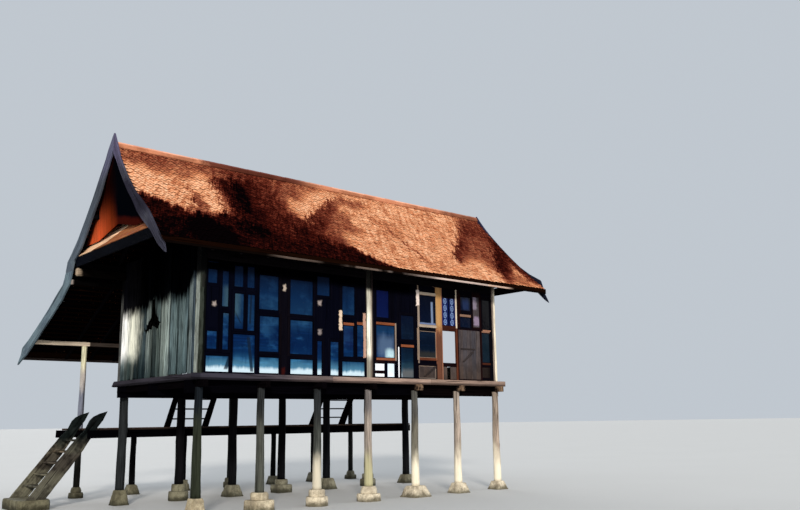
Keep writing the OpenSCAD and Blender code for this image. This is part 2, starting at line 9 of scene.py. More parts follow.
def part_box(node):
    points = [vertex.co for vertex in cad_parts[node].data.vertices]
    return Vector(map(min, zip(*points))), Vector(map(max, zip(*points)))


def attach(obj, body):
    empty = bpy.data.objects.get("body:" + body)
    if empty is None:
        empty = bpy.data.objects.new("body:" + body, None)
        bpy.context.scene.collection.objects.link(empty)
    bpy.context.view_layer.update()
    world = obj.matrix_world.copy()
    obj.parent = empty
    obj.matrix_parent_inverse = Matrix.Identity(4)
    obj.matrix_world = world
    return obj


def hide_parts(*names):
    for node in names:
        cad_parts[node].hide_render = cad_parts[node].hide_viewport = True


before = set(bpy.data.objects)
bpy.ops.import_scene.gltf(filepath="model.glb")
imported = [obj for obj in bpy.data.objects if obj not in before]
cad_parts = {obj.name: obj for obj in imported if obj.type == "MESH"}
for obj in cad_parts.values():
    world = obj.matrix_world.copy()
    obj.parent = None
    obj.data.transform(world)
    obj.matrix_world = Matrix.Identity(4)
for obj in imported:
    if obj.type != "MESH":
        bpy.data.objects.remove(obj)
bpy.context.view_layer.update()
_lo, _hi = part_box("floor_boards")
# where the front left post's axis lies in the shared frame; all places below
# are given from it, in metres
OX = _lo.x + 0.030
OY = _lo.y + 0.008

R = np.random.default_rng(1555)


def rnd(a, b):
    return float(R.uniform(a, b))


# --------------------------------------------------------------------------
# sizes shared with the CAD source
# --------------------------------------------------------------------------
BAY, BODY_D, VER_Y = 1.300, 3.270, 5.680
FLOOR, PLAT = 2.500, 1.540
RIDGE_Y, RUN = 1.635, 2.320
SLOPE0, CURVE = 1.12, (1.12 - 0.80) / 2.320
XL, XR = -1.127, 9.080          # the tiled roof, between the bargeboards
Y_B = 3.540
SEG = RUN / 8


def curve_at(d):
    return 7.020 - SLOPE0 * d + CURVE * d * d / 2


def roof_at(d):
    k = max(0, min(7, int(d / SEG + 1e-6)))
    a, b = curve_at(k * SEG), curve_at((k + 1) * SEG)
    return a + (b - a) * (d - k * SEG) / SEG


def run_at(z):
    return (SLOPE0 - math.sqrt(max(0.0, SLOPE0 ** 2 - 2 * CURVE * (7.020 - z)))) / CURVE


def ver_roof_at(y):
    return 4.830 - 0.514 * (y - 3.355)


PLATE_TOP = roof_at(1.695) - 0.190
PLATE_Z = PLATE_TOP - 0.120
PZ = PLATE_Z - 0.001
BACK_PLATE_TOP = roof_at(Y_B - RIDGE_Y) - 0.190
BACK_PLATE_Z = BACK_PLATE_TOP - 0.120


# --------------------------------------------------------------------------
# mesh building
# --------------------------------------------------------------------------
class Build:
    """Collects closed shapes for one joined mesh. loc is a place inside the
    member (along, across, through), sz its length and half sizes, tn two
    random numbers and a paint number."""

    def __init__(self):
        self.v, self.loc, self.sz, self.tn, self.f = [], [], [], [], []
        self.n = 0

    def add(self, v, faces, loc, sz, tn):
        v = np.asarray(v, float)
        n = len(v)
        self.v.append(v)
        self.loc.append(np.broadcast_to(np.asarray(loc, float), (n, 3)))
        self.sz.append(np.broadcast_to(np.asarray(sz, float), (n, 3)))
        self.tn.append(np.broadcast_to(np.asarray(tn, float), (n, 3)))
        for f in faces:
            self.f.append(np.asarray(f, int) + self.n)
        self.n += n

    def make(self, name, mat, slot, nodes=(), smooth=False, recalc=True):
        me = bpy.data.meshes.new(name)
        v = np.concatenate(self.v) + np.array([OX, OY, 0.0])
        faces = []
        for f in self.f:
            faces.extend(f.tolist() if f.ndim == 2 else [f.tolist()])
        me.from_pydata(v.tolist(), [], faces)
        for key, data in (("loc", self.loc), ("sz", self.sz), ("tn", self.tn)):
            a = me.attributes.new(key, "FLOAT_VECTOR", "POINT")
            a.data.foreach_set("vector", np.concatenate(data).astype(np.float32).ravel())
        me.update()
        if recalc:
            bm = bmesh.new()
            bm.from_mesh(me)
            bmesh.ops.recalc_face_normals(bm, faces=bm.faces)
            bm.to_mesh(me)
            bm.free()
        me.polygons.foreach_set("use_smooth", [smooth] * len(me.polygons))
        me.materials.append(mat)
        o = bpy.data.objects.new(name, me)
        bpy.context.scene.collection.objects.link(o)
        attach(o, "root")
        if nodes:
            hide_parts(*nodes)
        return o


def unit(v):
    v = np.asarray(v, float)
    return v / np.linalg.norm(v)


def waves(s, amp, count=3):
    """A smooth random line over s in 0..1, zero at both ends."""
    out = np.zeros_like(s)
    for k in range(1, count + 1):
        out += rnd(-1, 1) / k * np.sin(math.pi * k * s)
    return out * amp


def bar(b, p0, p1, w, h, up=(0, 0, 1), n=4, ch=0.005, wob=0.002, pt=0.0, taper=1.0, ends=0.0):
    """A squared timber from p0 to p1, w across and h along up, its edges
    worn round and its faces a little out of true."""
    p0, p1 = np.asarray(p0, float), np.asarray(p1, float)
    d = p1 - p0
    length = float(np.linalg.norm(d))
    t = d / length
    side = unit(np.cross(t, np.asarray(up, float)))
    upv = np.cross(side, t)
    ch = min(ch, w * 0.3, h * 0.3, length * 0.2)
    s = np.concatenate([[0.0], np.linspace(ch / length, 1 - ch / length, n + 1), [1.0]])
    m = len(s)
    hw, hh = w / 2, h / 2
    c = ch * (0.7 + 0.6 * rnd(0, 1))
    q = np.array([(hw - c, -hh), (hw, -hh + c), (hw, hh - c), (hw - c, hh), (-hw + c, hh), (-hw, hh - c), (-hw, -hh + c), (-hw + c, -hh)])
    ox, oy = waves(s, wob), waves(s, wob)
    v = np.zeros((m, 8, 3))
    loc = np.zeros((m, 8, 3))
    for i in range(m):
        e = 1.0 - (ch / hw if i in (0, m - 1) else 0.0)
        f = 1.0 - (ch / hh if i in (0, m - 1) else 0.0)
        k = 1 + (taper - 1) * s[i]
        jit = R.uniform(-1, 1, 2) * wob * 0.35 if 1 < i < m - 2 else (0, 0)
        a = q[:, 0] * e * k + ox[i] + jit[0]
        z = q[:, 1] * f * k + oy[i] + jit[1]
        u = s[i] * length
        if ends and i in (0, m - 1):
            u = u + (R.uniform(0, 1, 8) * ends * (1 if i == 0 else -1))
        loc[i, :, 0], loc[i, :, 1], loc[i, :, 2] = u, q[:, 0], q[:, 1]
        v[i] = p0 + np.outer(np.broadcast_to(u, 8), t) + np.outer(a, side) + np.outer(z, upv)
    i, j = np.meshgrid(np.arange(m - 1), np.arange(8), indexing="ij")
    a = i * 8 + j
    c2 = i * 8 + (j + 1) % 8
    quads = np.stack([a, c2, c2 + 8, a + 8], -1).reshape(-1, 4)
    cap0 = np.arange(8)[::-1]
    cap1 = (m - 1) * 8 + np.arange(8)
    b.add(v.reshape(-1, 3), [quads, cap0[None], cap1[None]], loc.reshape(-1, 3), (length, hw, hh), (rnd(0, 1), rnd(0, 1), pt))


def grid_solid(b, top, bot, loc_t, loc_b, sz, tn):
    """A closed slab between two matching grids of points."""
    n, m = top.shape[:2]
    i, j = np.meshgrid(np.arange(n - 1), np.arange(m - 1), indexing="ij")
    a = (i * m + j).ravel()
    q = np.stack([a, a + 1, a + m + 1, a + m], 1)
    nt = n * m
    qb = q[:, ::-1] + nt
    ring = np.concatenate([np.arange(m), m - 1 + m * np.arange(1, n), (n - 1) * m + np.arange(m - 2, -1, -1), m * np.arange(n - 2, 0, -1)])
    nx = np.roll(ring, -1)
    qs = np.stack([ring, ring + nt, nx + nt, nx], 1)
    b.add(
        np.concatenate([top.reshape(-1, 3), bot.reshape(-1, 3)]),
        [q, qb, qs],
        np.concatenate([loc_t.reshape(-1, 3), loc_b.reshape(-1, 3)]),
        sz, tn,
    )


def plank(b, p0, t, length, wd, w, nd, th, k=2, n=4, cup=0.0, bow=0.0, rag0=0.0, rag1=0.0, ch=0.003, pt=0.0, z0=None, z1=None, gap=0.0015, rn=None):
    """A sawn board: p0 is the middle of its near end. z0 and z1 may be
    functions that give each strip's own start and end along the board."""
    t, wd, nd = unit(t), unit(wd), unit(nd)
    w = w - 2 * gap
    ch = min(ch, th * 0.35, w * 0.2)
    vv = np.concatenate([[-w / 2], np.linspace(-w / 2 + ch, w / 2 - ch, k + 1), [w / 2]])
    m = len(vv)
    s = np.concatenate([[0], np.linspace(0.02, 0.98, n + 1), [1]])
    rows = len(s)
    a0 = np.array([(z0(x) if z0 else 0.0) for x in vv]) + R.uniform(0, 1, m) * rag0
    a1 = np.array([(z1(x) if z1 else length) for x in vv]) - R.uniform(0, 1, m) * rag1
    ends = (s == 0) | (s == 1)
    u = a0[None, :] + (a1 - a0)[None, :] * s[:, None]
    half = np.full((rows, m), th / 2)
    half[:, 0] -= ch
    half[:, -1] -= ch
    half[ends] -= ch * 0.6
    off = cup * (1 - (2 * vv / w) ** 2)[None, :] + waves(s, bow)[:, None] + R.uniform(-1, 1, (rows, m)) * 0.0006
    sway = waves(s, bow * 0.6)[:, None]
    base = np.asarray(p0, float) + u[..., None] * t + (vv[None, :] + sway)[..., None] * wd
    top = base + (off + half)[..., None] * nd
    bot = base + (off - half)[..., None] * nd
    lt = np.stack([u, np.broadcast_to(vv, u.shape), half], -1)
    lb = np.stack([u, np.broadcast_to(vv, u.shape), -half], -1)
    grid_solid(b, top, bot, lt, lb, (float(a1.max()), w / 2, th / 2), (rnd(0, 1) if rn is None else rn, rnd(0, 1), pt))


def prism(b, pts, axis, a0, a1, ch=0.004, udir=(1, 0), pt=0.0, step=0.0, rough=0.0, z_low=-9.0):
    """A board cut to an outline. pts are in the plane across axis: (x, z)
    for axis "y", (y, z) for axis "x". Its rims are chamfered."""
    pts = [np.array(p, float) for p in pts]
    if step:
        out = []
        for i, p in enumerate(pts):
            q = pts[(i + 1) % len(pts)]
            k = max(1, int(np.linalg.norm(q - p) / step))
            nrm = np.array([-(q - p)[1], (q - p)[0]]) / (np.linalg.norm(q - p) + 1e-9)
            for j in range(k):
                o = p + (q - p) * j / k + (nrm * rnd(-rough, rough) if j else 0)
                out.append(np.array([o[0], max(o[1], z_low)]))
        pts = out
    p = np.array(pts)
    area = 0.5 * np.sum(p[:, 0] * np.roll(p[:, 1], -1) - np.roll(p[:, 0], -1) * p[:, 1])
    if area < 0:
        p = p[::-1]
    e0 = p - np.roll(p, 1, 0)
    e1 = np.roll(p, -1, 0) - p
    n0 = np.stack([-e0[:, 1], e0[:, 0]], 1) / (np.linalg.norm(e0, axis=1)[:, None] + 1e-9)
    n1 = np.stack([-e1[:, 1], e1[:, 0]], 1) / (np.linalg.norm(e1, axis=1)[:, None] + 1e-9)
    bis = n0 + n1
    den = np.maximum(0.5, 1 + np.sum(n0 * n1, 1))
    ins = p + bis * (ch / den)[:, None]
    n = len(p)
    rings = [(ins, a0), (p, a0 + ch), (p, a1 - ch), (ins, a1)]
    v = []
    for r, a in rings:
        z = np.zeros((n, 3))
        if axis == "y":
            z[:, 0], z[:, 1], z[:, 2] = r[:, 0], a, r[:, 1]
        else:
            z[:, 0], z[:, 1], z[:, 2] = a, r[:, 0], r[:, 1]
        v.append(z)
    v = np.concatenate(v)
    ud = unit(udir)
    flat = np.concatenate([r for r, a in rings])
    loc = np.stack([flat @ ud, flat @ np.array([-ud[1], ud[0]]), np.repeat([a for r, a in rings], n)], 1)
    i, j = np.meshgrid(np.arange(3), np.arange(n), indexing="ij")
    a = (i * n + j).ravel()
    c = (i * n + (j + 1) % n).ravel()
    quads = np.stack([a, c, c + n, a + n], 1)
    b.add(v, [quads, np.arange(n)[::-1][None], (3 * n + np.arange(n))[None]], loc, (99, 99, 99), (rnd(0, 1), rnd(0, 1), pt))


def pole(b, foot, head, r0, r1, sides=26, rings=30, bend=0.008, pt=0.0):
    """A round trunk post with low bulges, knots and drying cracks."""
    foot, head = np.asarray(foot, float), np.asarray(head, float)
    d = head - foot
    length = float(np.linalg.norm(d))
    s = np.linspace(0, 1, rings + 1)
    th = np.linspace(0, 2 * math.pi, sides, endpoint=False)
    rad = (r0 + (r1 - r0) * s)[:, None] * np.ones(sides)
    for k in range(4):
        rad *= 1 + rnd(0.008, 0.022) * np.sin(rnd(2, 9) * s[:, None] * length + (k + 1) * th[None, :] + rnd(0, 6))
    for _ in range(int(rnd(3, 6))):
        s0, t0 = rnd(0.05, 0.95), rnd(0, 6.28)
        dt = np.angle(np.exp(1j * (th - t0)))
        rad += rnd(0.004, 0.009) * np.exp(-((s[:, None] - s0) * length / 0.05) ** 2 - (dt[None, :] / 0.4) ** 2)
    for _ in range(4):
        t0, s0, s1 = rnd(0, 6.28), rnd(0, 0.5), rnd(0.5, 1)
        dt = np.angle(np.exp(1j * (th - t0 - 0.25 * s[:, None] * rnd(-1, 1))))
        rad -= rnd(0.003, 0.007) * np.exp(-(dt / 0.13) ** 2) * ((s > s0) & (s < s1))[:, None]
    # a few flats left by the adze
    for _ in range(3):
        t0 = rnd(0, 6.28)
        c = np.cos(np.angle(np.exp(1j * (th - t0))))[None, :]
        lim = (r0 + (r1 - r0) * s)[:, None] * rnd(0.93, 0.98)
        rad = np.where((c > 0.5) & (rad * c > lim), lim / np.maximum(c, 0.5), rad)
    cx, cy = waves(s, bend), waves(s, bend)
    v = np.zeros((rings + 1, sides, 3))
    v[..., 0] = foot[0] + d[0] * s[:, None] + cx[:, None] + rad * np.cos(th)
    v[..., 1] = foot[1] + d[1] * s[:, None] + cy[:, None] + rad * np.sin(th)
    v[..., 2] = foot[2] + d[2] * s[:, None]
    loc = np.stack([np.broadcast_to((s * length)[:, None], rad.shape), rad * np.cos(th), rad * np.sin(th)], -1)
    i, j = np.meshgrid(np.arange(rings), np.arange(sides), indexing="ij")
    a = (i * sides + j).ravel()
    c = (i * sides + (j + 1) % sides).ravel()
    q = np.stack([a, c, c + sides, a + sides], 1)
    b.add(v.reshape(-1, 3), [q, np.arange(sides)[::-1][None], (rings * sides + np.arange(sides))[None]], loc.reshape(-1, 3), (length, 9, 9), (rnd(0, 1), rnd(0, 1), pt))


def lumps(p, seed, scale):
    """Smooth random height over space."""
    g = np.random.default_rng(seed)
    out = np.zeros(len(p))
    for k in range(9):
        w = g.normal(size=3) * scale * (1 + 0.5 * k)
        out += np.sin(p @ w + g.uniform(0, 6.28)) / (1 + 0.55 * k)
    return out / 3


def loft(b, levels, centre, seed, amp=0.006, sides=40, power=2.0, chips=0.0, turn=0.0, z_floor=0.0, ax=(1.0, 1.0), box=None):
    """A cast or worn stone: levels are (height, half width). power 2 gives a
    round plan, 8 a square one."""
    th = np.linspace(0, 2 * math.pi, sides, endpoint=False) + math.pi / sides
    c, s = np.cos(th), np.sin(th)
    k = (np.abs(c) ** power + np.abs(s) ** power) ** (-1 / power)
    v = []
    for z, half in levels:
        r = k * half
        v.append(np.stack([r * np.cos(th + turn) * ax[0], r * np.sin(th + turn) * ax[1], np.full(sides, z)], 1))
    v = np.concatenate(v)
    rad = np.linalg.norm(v[:, :2], axis=1, keepdims=True) + 1e-9
    h = lumps(v, seed, 9.0) * amp + lumps(v, seed + 5, 32.0) * amp * 0.45
    if chips:
        h -= np.clip(lumps(v, seed + 9, 21.0) - 0.25, 0, 1) * chips
    v[:, :2] += v[:, :2] / rad * h[:, None]
    tz = lumps(v, seed + 3, 14.0) * amp * 0.5
    lev = np.repeat([z for z, _ in levels], sides)
    v[:, 2] += np.where(lev > z_floor + 0.02, tz, 0)
    v[:, 2] = np.maximum(v[:, 2], z_floor)
    v += np.asarray(centre, float)
    if box:
        v = np.clip(v, box[0], box[1])
    n = len(levels)
    i, j = np.meshgrid(np.arange(n - 1), np.arange(sides), indexing="ij")
    a = (i * sides + j).ravel()
    cc = (i * sides + (j + 1) % sides).ravel()
    q = np.stack([a, cc, cc + sides, a + sides], 1)
    b.add(v, [q, np.arange(sides)[::-1][None], ((n - 1) * sides + np.arange(sides))[None]], v - np.asarray(centre, float), (9, 9, 9), (rnd(0, 1), rnd(0, 1), 0))


# --------------------------------------------------------------------------
# materials
# --------------------------------------------------------------------------
def srgb(r, g, b):
    def f(c):
        c /= 255.0
        return c / 12.92 if c <= 0.04045 else ((c + 0.055) / 1.055) ** 2.4
    return (f(r), f(g), f(b), 1.0)


class M:
    """A small helper that wires a procedural material."""

    def __init__(self, name):
        self.m = bpy.data.materials.new(name)
        self.m.use_nodes = True
        self.t = self.m.node_tree
        self.bsdf = self.t.nodes["Principled BSDF"]
        self._pos = None
        self._attr = {}

    def new(self, kind, **props):
        n = self.t.nodes.new(kind)
        for k, v in props.items():
            setattr(n, k, v)
        return n

    def put(self, sock, v):
        if isinstance(v, bpy.types.NodeSocket):
            self.t.links.new(v, sock)
        elif v is not None:
            if sock.type == "RGBA" and not hasattr(v, "__len__"):
                v = (v, v, v, 1)
            sock.default_value = v

    def math(self, op, a, b=None, c=None, clamp=False):
        n = self.new("ShaderNodeMath", operation=op, use_clamp=clamp)
        for s, v in zip(n.inputs, (a, b, c)):
            self.put(s, v)
        return n.outputs[0]

    def add(self, a, b):
        return self.math("ADD", a, b)

    def sub(self, a, b):
        return self.math("SUBTRACT", a, b)

    def mul(self, a, b):
        return self.math("MULTIPLY", a, b)

    def smooth(self, x, lo, hi):
        n = self.new("ShaderNodeMapRange", interpolation_type="SMOOTHSTEP")
        self.put(n.inputs["Value"], x)
        self.put(n.inputs["From Min"], lo)
        self.put(n.inputs["From Max"], hi)
        return n.outputs[0]

    def lin(self, x, a, b, c, d):
        n = self.new("ShaderNodeMapRange", clamp=True)
        for i, v in enumerate((x, a, b, c, d)):
            self.put(n.inputs[i], v)
        return n.outputs[0]

    def mix(self, fac, a, b, mode="MIX"):
        n = self.new("ShaderNodeMix", data_type="RGBA", blend_type=mode)
        self.put(n.inputs[0], fac)
        self.put(n.inputs[6], a)
        self.put(n.inputs[7], b)
        return n.outputs[2]

    def attr(self, name):
        if name not in self._attr:
            n = self.new("ShaderNodeAttribute", attribute_name=name)
            self._attr[name] = n.outputs["Vector"]
        return self._attr[name]

    def pos(self):
        """Place on the house, from the front left post's foot."""
        if self._pos is None:
            tc = self.new("ShaderNodeTexCoord")
            n = self.new("ShaderNodeVectorMath", operation="SUBTRACT")
            self.t.links.new(tc.outputs["Object"], n.inputs[0])
            n.inputs[1].default_value = (OX, OY, 0)
            self._pos = n.outputs[0]
        return self._pos

    def sep(self, v):
        n = self.new("ShaderNodeSeparateXYZ")
        self.put(n.inputs[0], v)
        return n.outputs[0], n.outputs[1], n.outputs[2]

    def comb(self, x, y, z):
        n = self.new("ShaderNodeCombineXYZ")
        for s, v in zip(n.inputs, (x, y, z)):
            self.put(s, v)
        return n.outputs[0]

    def vadd(self, a, b):
        n = self.new("ShaderNodeVectorMath", operation="ADD")
        self.put(n.inputs[0], a)
        self.put(n.inputs[1], b)
        return n.outputs[0]

    def vmul(self, a, b):
        n = self.new("ShaderNodeVectorMath", operation="MULTIPLY")
        self.put(n.inputs[0], a)
        self.put(n.inputs[1], b)
        return n.outputs[0]

    def noise(self, vec, scale=1.0, detail=3.0, rough=0.55, dist=0.0):
        n = self.new("ShaderNodeTexNoise")
        self.put(n.inputs["Vector"], vec)
        n.inputs["Scale"].default_value = scale
        n.inputs["Detail"].default_value = detail
        n.inputs["Roughness"].default_value = rough
        n.inputs["Distortion"].default_value = dist
        return n.outputs["Fac"]

    def ramp(self, fac, stops, interp="LINEAR"):
        n = self.new("ShaderNodeValToRGB")
        n.color_ramp.interpolation = interp
        e = n.color_ramp.elements
        while len(e) < len(stops):
            e.new(0.5)
        for x, (p, c) in zip(e, stops):
            x.position = p
        for x, (p, c) in zip(e, stops):
            x.color = c if len(c) == 4 else (*c, 1)
        self.put(n.inputs[0], fac)
        return n.outputs[0]

    def bump(self, height, strength, dist, normal=None):
        n = self.new("ShaderNodeBump")
        n.inputs["Strength"].default_value = strength
        n.inputs["Distance"].default_value = dist
        self.put(n.inputs["Height"], height)
        if normal is not None:
            self.put(n.inputs["Normal"], normal)
        return n.outputs[0]

    def shade(self, color, rough, normal=None, **consts):
        self.put(self.bsdf.inputs["Base Color"], color)
        self.put(self.bsdf.inputs["Roughness"], rough)
        if normal is not None:
            self.put(self.bsdf.inputs["Normal"], normal)
        for k, v in consts.items():
            self.bsdf.inputs[k.replace("_", " ")].default_value = v
        return self.m


def wood(name, paint, rough=0.84, fibre=0.5, crack=0.8, wear=0.35, wear_col=None, stain=0.35, vary=0.3, tone=None, bump=0.004, axis=None, fine=60.0, gloss=0.18):
    """Old timber. paint(m, pt) gives the base colour from the paint number;
    tone(m, x, y, z, col) may darken or lighten it by place, for stains and wear
    and for painted light and shade."""
    m = M(name)
    x, y, z = m.sep(m.pos())
    if axis is None:
        tn = m.attr("tn")
        rn, rm, pt = m.sep(tn)
        loc = m.attr("loc")
        off = m.comb(m.mul(rn, 31.7), m.mul(rm, 17.3), m.add(m.mul(rn, 9.1), m.mul(rm, 23.0)))
        g = m.vadd(loc, off)
    else:
        rn = rm = None
        pt = None
        g = m.comb(*((x, y, z) if axis == 0 else (y, x, z) if axis == 1 else (z, x, y)))
    fib = m.noise(m.vmul(g, (2.0, fine, fine)), 1.0, 4.0, 0.6, 0.3)
    band = m.noise(m.vmul(g, (0.8, 13.0, 13.0)), 1.0, 3.0, 0.5, 1.4)
    crk = m.noise(m.vmul(g, (1.0, 34.0, 34.0)), 1.0, 2.0, 0.5, 0.2)
    crk = m.smooth(crk, 0.60, 0.68)
    spot = m.noise(m.pos(), 1.7, 4.0, 0.6)
    speck = m.noise(m.pos(), 38.0, 3.0, 0.6)
    base = paint(m, pt)
    col = m.mix(m.smooth(fib, 0.30, 0.72), m.mix(fibre, base, (0.12, 0.11, 0.10, 1), "MULTIPLY"), base)
    col = m.mix(m.mul(m.smooth(band, 0.35, 0.7), 0.35), col, m.mix(1.0, col, (1.45, 1.38, 1.3, 1), "MULTIPLY"))
    col = m.mix(m.mul(m.smooth(spot, 0.42, 0.72), stain), col, m.mix(1.0, col, (0.42, 0.40, 0.40, 1), "MULTIPLY"))
    col = m.mix(m.mul(m.smooth(speck, 0.58, 0.75), 0.45), col, m.mix(1.0, col, (0.45, 0.44, 0.42, 1), "MULTIPLY"))
    if rn is not None:
        k = m.lin(rn, 0, 1, 1 - vary, 1 + vary * 0.8)
        col = m.mix(1.0, col, m.comb(k, k, k), "MULTIPLY")
        warm = m.lin(rm, 0, 1, 0.93, 1.07)
        cool = m.lin(rm, 0, 1, 1.08, 0.92)
        col = m.mix(1.0, col, m.comb(warm, 1.0, cool), "MULTIPLY")
        u, v, w = m.sep(loc)
        L, hw, hh = m.sep(m.attr("sz"))
        e1 = m.sub(hw, m.math("ABSOLUTE", v))
        e2 = m.sub(hh, m.math("ABSOLUTE", w))
        e3 = m.math("MINIMUM", u, m.sub(L, u))
        mid = m.math("MAXIMUM", m.math("MINIMUM", e1, e2), m.math("MINIMUM", m.math("MAXIMUM", e1, e2), e3))
        reach = m.lin(m.noise(m.pos(), 9.0, 3.0, 0.6), 0.3, 0.75, 0.001, 0.020)
        ed = m.sub(1.0, m.smooth(mid, 0.0, reach))
        wc = wear_col or m.mix(1.0, col, (1.9, 1.85, 1.8, 1), "MULTIPLY")
        col = m.mix(m.mul(ed, wear), col, wc)
    col = m.mix(m.mul(crk, crack), col, m.mix(1.0, col, (0.16, 0.14, 0.13, 1), "MULTIPLY"))
    if tone:
        col = tone(m, x, y, z, col)
    height = m.add(m.mul(fib, 0.5), m.sub(m.mul(band, 0.35), m.mul(crk, 0.9)))
    rgh = m.lin(fib, 0.2, 0.8, rough + 0.08, rough - 0.10)
    return m.shade(col, rgh, m.bump(height, 0.8, bump), Specular_IOR_Level=gloss)


def flat(c):
    return lambda m, pt: c


def stops(*s, interp="LINEAR"):
    return lambda m, pt: m.ramp(pt, list(s), interp)


def darker(m, col, fac, by):
    """Mixes col towards col times by, where fac is 1."""
    return m.mix(fac, col, m.mix(1.0, col, (by, by, by, 1) if not hasattr(by, "__len__") else by, "MULTIPLY"))


def patch(m, a, b, box, soft=0.02, rag=None):
    """1 inside the rectangle (a0, a1, b0, b1) of two coordinates, soft at its rim."""
    a0, a1, b0, b1 = box
    if rag is not None:
        a, b = m.add(a, rag), m.add(b, rag)
    k = m.mul(m.smooth(a, a0 - soft, a0 + soft), m.sub(1.0, m.smooth(a, a1 - soft, a1 + soft)))
    return m.mul(k, m.mul(m.smooth(b, b0 - soft, b0 + soft), m.sub(1.0, m.smooth(b, b1 - soft, b1 + soft))))


def oval(m, a, b, at, size, turn=0.0, soft=0.35):
    """1 inside a soft oval mark on two coordinates, 0 outside; size is its
    half length and half width, turn the angle of its length in degrees."""
    c, s = math.cos(math.radians(turn)), math.sin(math.radians(turn))
    da, db = m.sub(a, at[0]), m.sub(b, at[1])
    p = m.add(m.mul(da, c / size[0]), m.mul(db, s / size[0]))
    q = m.sub(m.mul(db, c / size[1]), m.mul(da, s / size[1]))
    rr = m.math("SQRT", m.add(m.mul(p, p), m.mul(q, q)))
    return m.sub(1.0, m.smooth(rr, 1.0 - soft, 1.0 + soft))


# the paints of round posts: 0 dark, 0.5 grey, 1 cream
POST_RAMP = stops((0.0, srgb(22, 20, 25)), (0.30, srgb(64, 66, 64)), (0.5, srgb(100, 102, 92)), (0.75, srgb(168, 150, 134)), (1.0, srgb(216, 202, 190)))


def post_tone(m, x, y, z, col):
    # darker and greener towards the foot, and painted shade at the head
    foot_dark = m.sub(1.0, m.smooth(m.add(z, m.mul(m.noise(m.pos(), 4.0, 3.0), 0.5)), 0.35, 0.95))
    col = m.mix(m.mul(foot_dark, 0.45), col, m.mix(1.0, col, (0.62, 0.66, 0.52, 1), "MULTIPLY"))
    # painted shade: the side that faces -X is darker and browner
    geo = m.new("ShaderNodeNewGeometry")
    nx, ny, nz = m.sep(geo.outputs["Normal"])
    left = m.smooth(m.math("MULTIPLY", nx, -1.0), 0.1, 0.9)
    col = m.mix(m.mul(left, 0.45), col, m.mix(1.0, col, (0.50, 0.54, 0.56, 1), "MULTIPLY"))
    zz = m.add(z, m.mul(m.sub(m.noise(m.vmul(m.pos(), (5.0, 5.0, 1.6)), 1.0, 3.0), 0.5), 0.9))
    front = m.sub(1.0, m.smooth(y, 0.5, 1.0))
    first = m.mul(front, m.sub(1.0, m.smooth(x, 0.5, 0.8)))
    col = m.mix(first, col, m.mix(1.0, col, m.mix(m.smooth(zz, 1.5, 2.0), (0.56, 0.60, 0.40, 1), (0.34, 0.40, 0.48, 1)), "MULTIPLY"))
    # painted shade darkens the heads of the row under the floor; the second and third posts are paler in the middle,
    # the feet cream from the third post on
    head = m.mul(m.mul(front, m.smooth(zz, 1.55, 1.95)), m.sub(1.0, m.smooth(x, 5.9, 6.2)))
    col = m.mix(m.mul(head, 0.9), col, m.mix(1.0, col, (0.50, 0.54, 0.64, 1), "MULTIPLY"))
    belly = m.mul(m.mul(front, m.sub(1.0, m.smooth(zz, 1.45, 1.75))), m.mul(m.smooth(x, 0.8, 1.0), m.sub(1.0, m.smooth(x, 3.2, 3.4))))
    col = m.mix(m.mul(belly, 0.9), col, m.mix(1.0, col, (1.75, 1.80, 1.70, 1), "MULTIPLY"))
    low = m.mul(m.mul(front, m.smooth(x, 2.2, 2.4)), m.sub(1.0, m.smooth(zz, 0.55, 1.15)))
    green = m.mul(m.smooth(x, 3.3, 3.5), m.sub(1.0, m.smooth(x, 4.4, 4.6)))
    col = m.mix(m.mul(low, m.lin(x, 2.8, 4.6, 0.60, 0.85)), col, m.mix(green, srgb(238, 228, 204), srgb(176, 172, 132)))
    # painted shade under the house on the rear posts; the tall end post is painted dark up to about 2.4 m and nearly
    # black below its floor, as shade, and is paler high up
    rear = m.smooth(y, 2.0, 3.0)
    verandah = m.smooth(y, 4.5, 5.0)
    tall = m.mul(verandah, m.sub(1.0, m.smooth(x, 0.3, 0.6)))
    col = m.mix(m.mul(rear, m.sub(1.0, tall)), col, m.mix(1.0, col, (0.40, 0.42, 0.48, 1), "MULTIPLY"))
    col = m.mix(m.mul(tall, m.sub(1.0, m.smooth(zz, 2.25, 2.65))), col, m.mix(1.0, col, (0.36, 0.42, 0.58, 1), "MULTIPLY"))
    col = m.mix(m.mul(tall, m.sub(1.0, m.smooth(z, 1.40, 1.60))), col, m.mix(1.0, col, (0.10, 0.09, 0.06, 1), "MULTIPLY"))
    return m.mix(m.mul(tall, m.smooth(zz, 2.75, 3.10)), col, m.mix(1.0, col, (1.45, 1.52, 1.15, 1), "MULTIPLY"))


MAT = {}
MAT["post"] = wood("post_weathered_painted_light", POST_RAMP, fibre=0.6, crack=0.9, tone=post_tone, fine=42.0, bump=0.006, vary=0.12, gloss=0.04)


def beam_tone(m, x, y, z, col):
    # painted shade keeps the beams dark under the house; only the ends that stand out in front at the right stay pale,
    # as painted sunlight
    end = m.sub(1.0, m.smooth(y, -0.16, -0.05))
    right = m.smooth(x, 4.2, 4.9)
    n = m.smooth(m.noise(m.pos(), 12.0, 3.0), 0.35, 0.65)
    col = m.mix(m.sub(1.0, m.mul(end, right)), col, m.mix(1.0, col, (0.22, 0.20, 0.24, 1), "MULTIPLY"))
    return m.mix(m.mul(m.mul(end, right), m.mul(n, 0.60)), col, srgb(150, 122, 98))


def under_tone(m, x, y, z, col):
    # painted shade under the floor: nearly black in front, a little browner at the right
    right = m.smooth(m.add(x, m.mul(m.sub(m.noise(m.pos(), 1.2, 3.0), 0.5), 1.5)), 4.6, 6.4)
    return m.mix(1.0, col, m.mix(right, (0.20, 0.21, 0.30, 1), (0.55, 0.38, 0.34, 1)), "MULTIPLY")


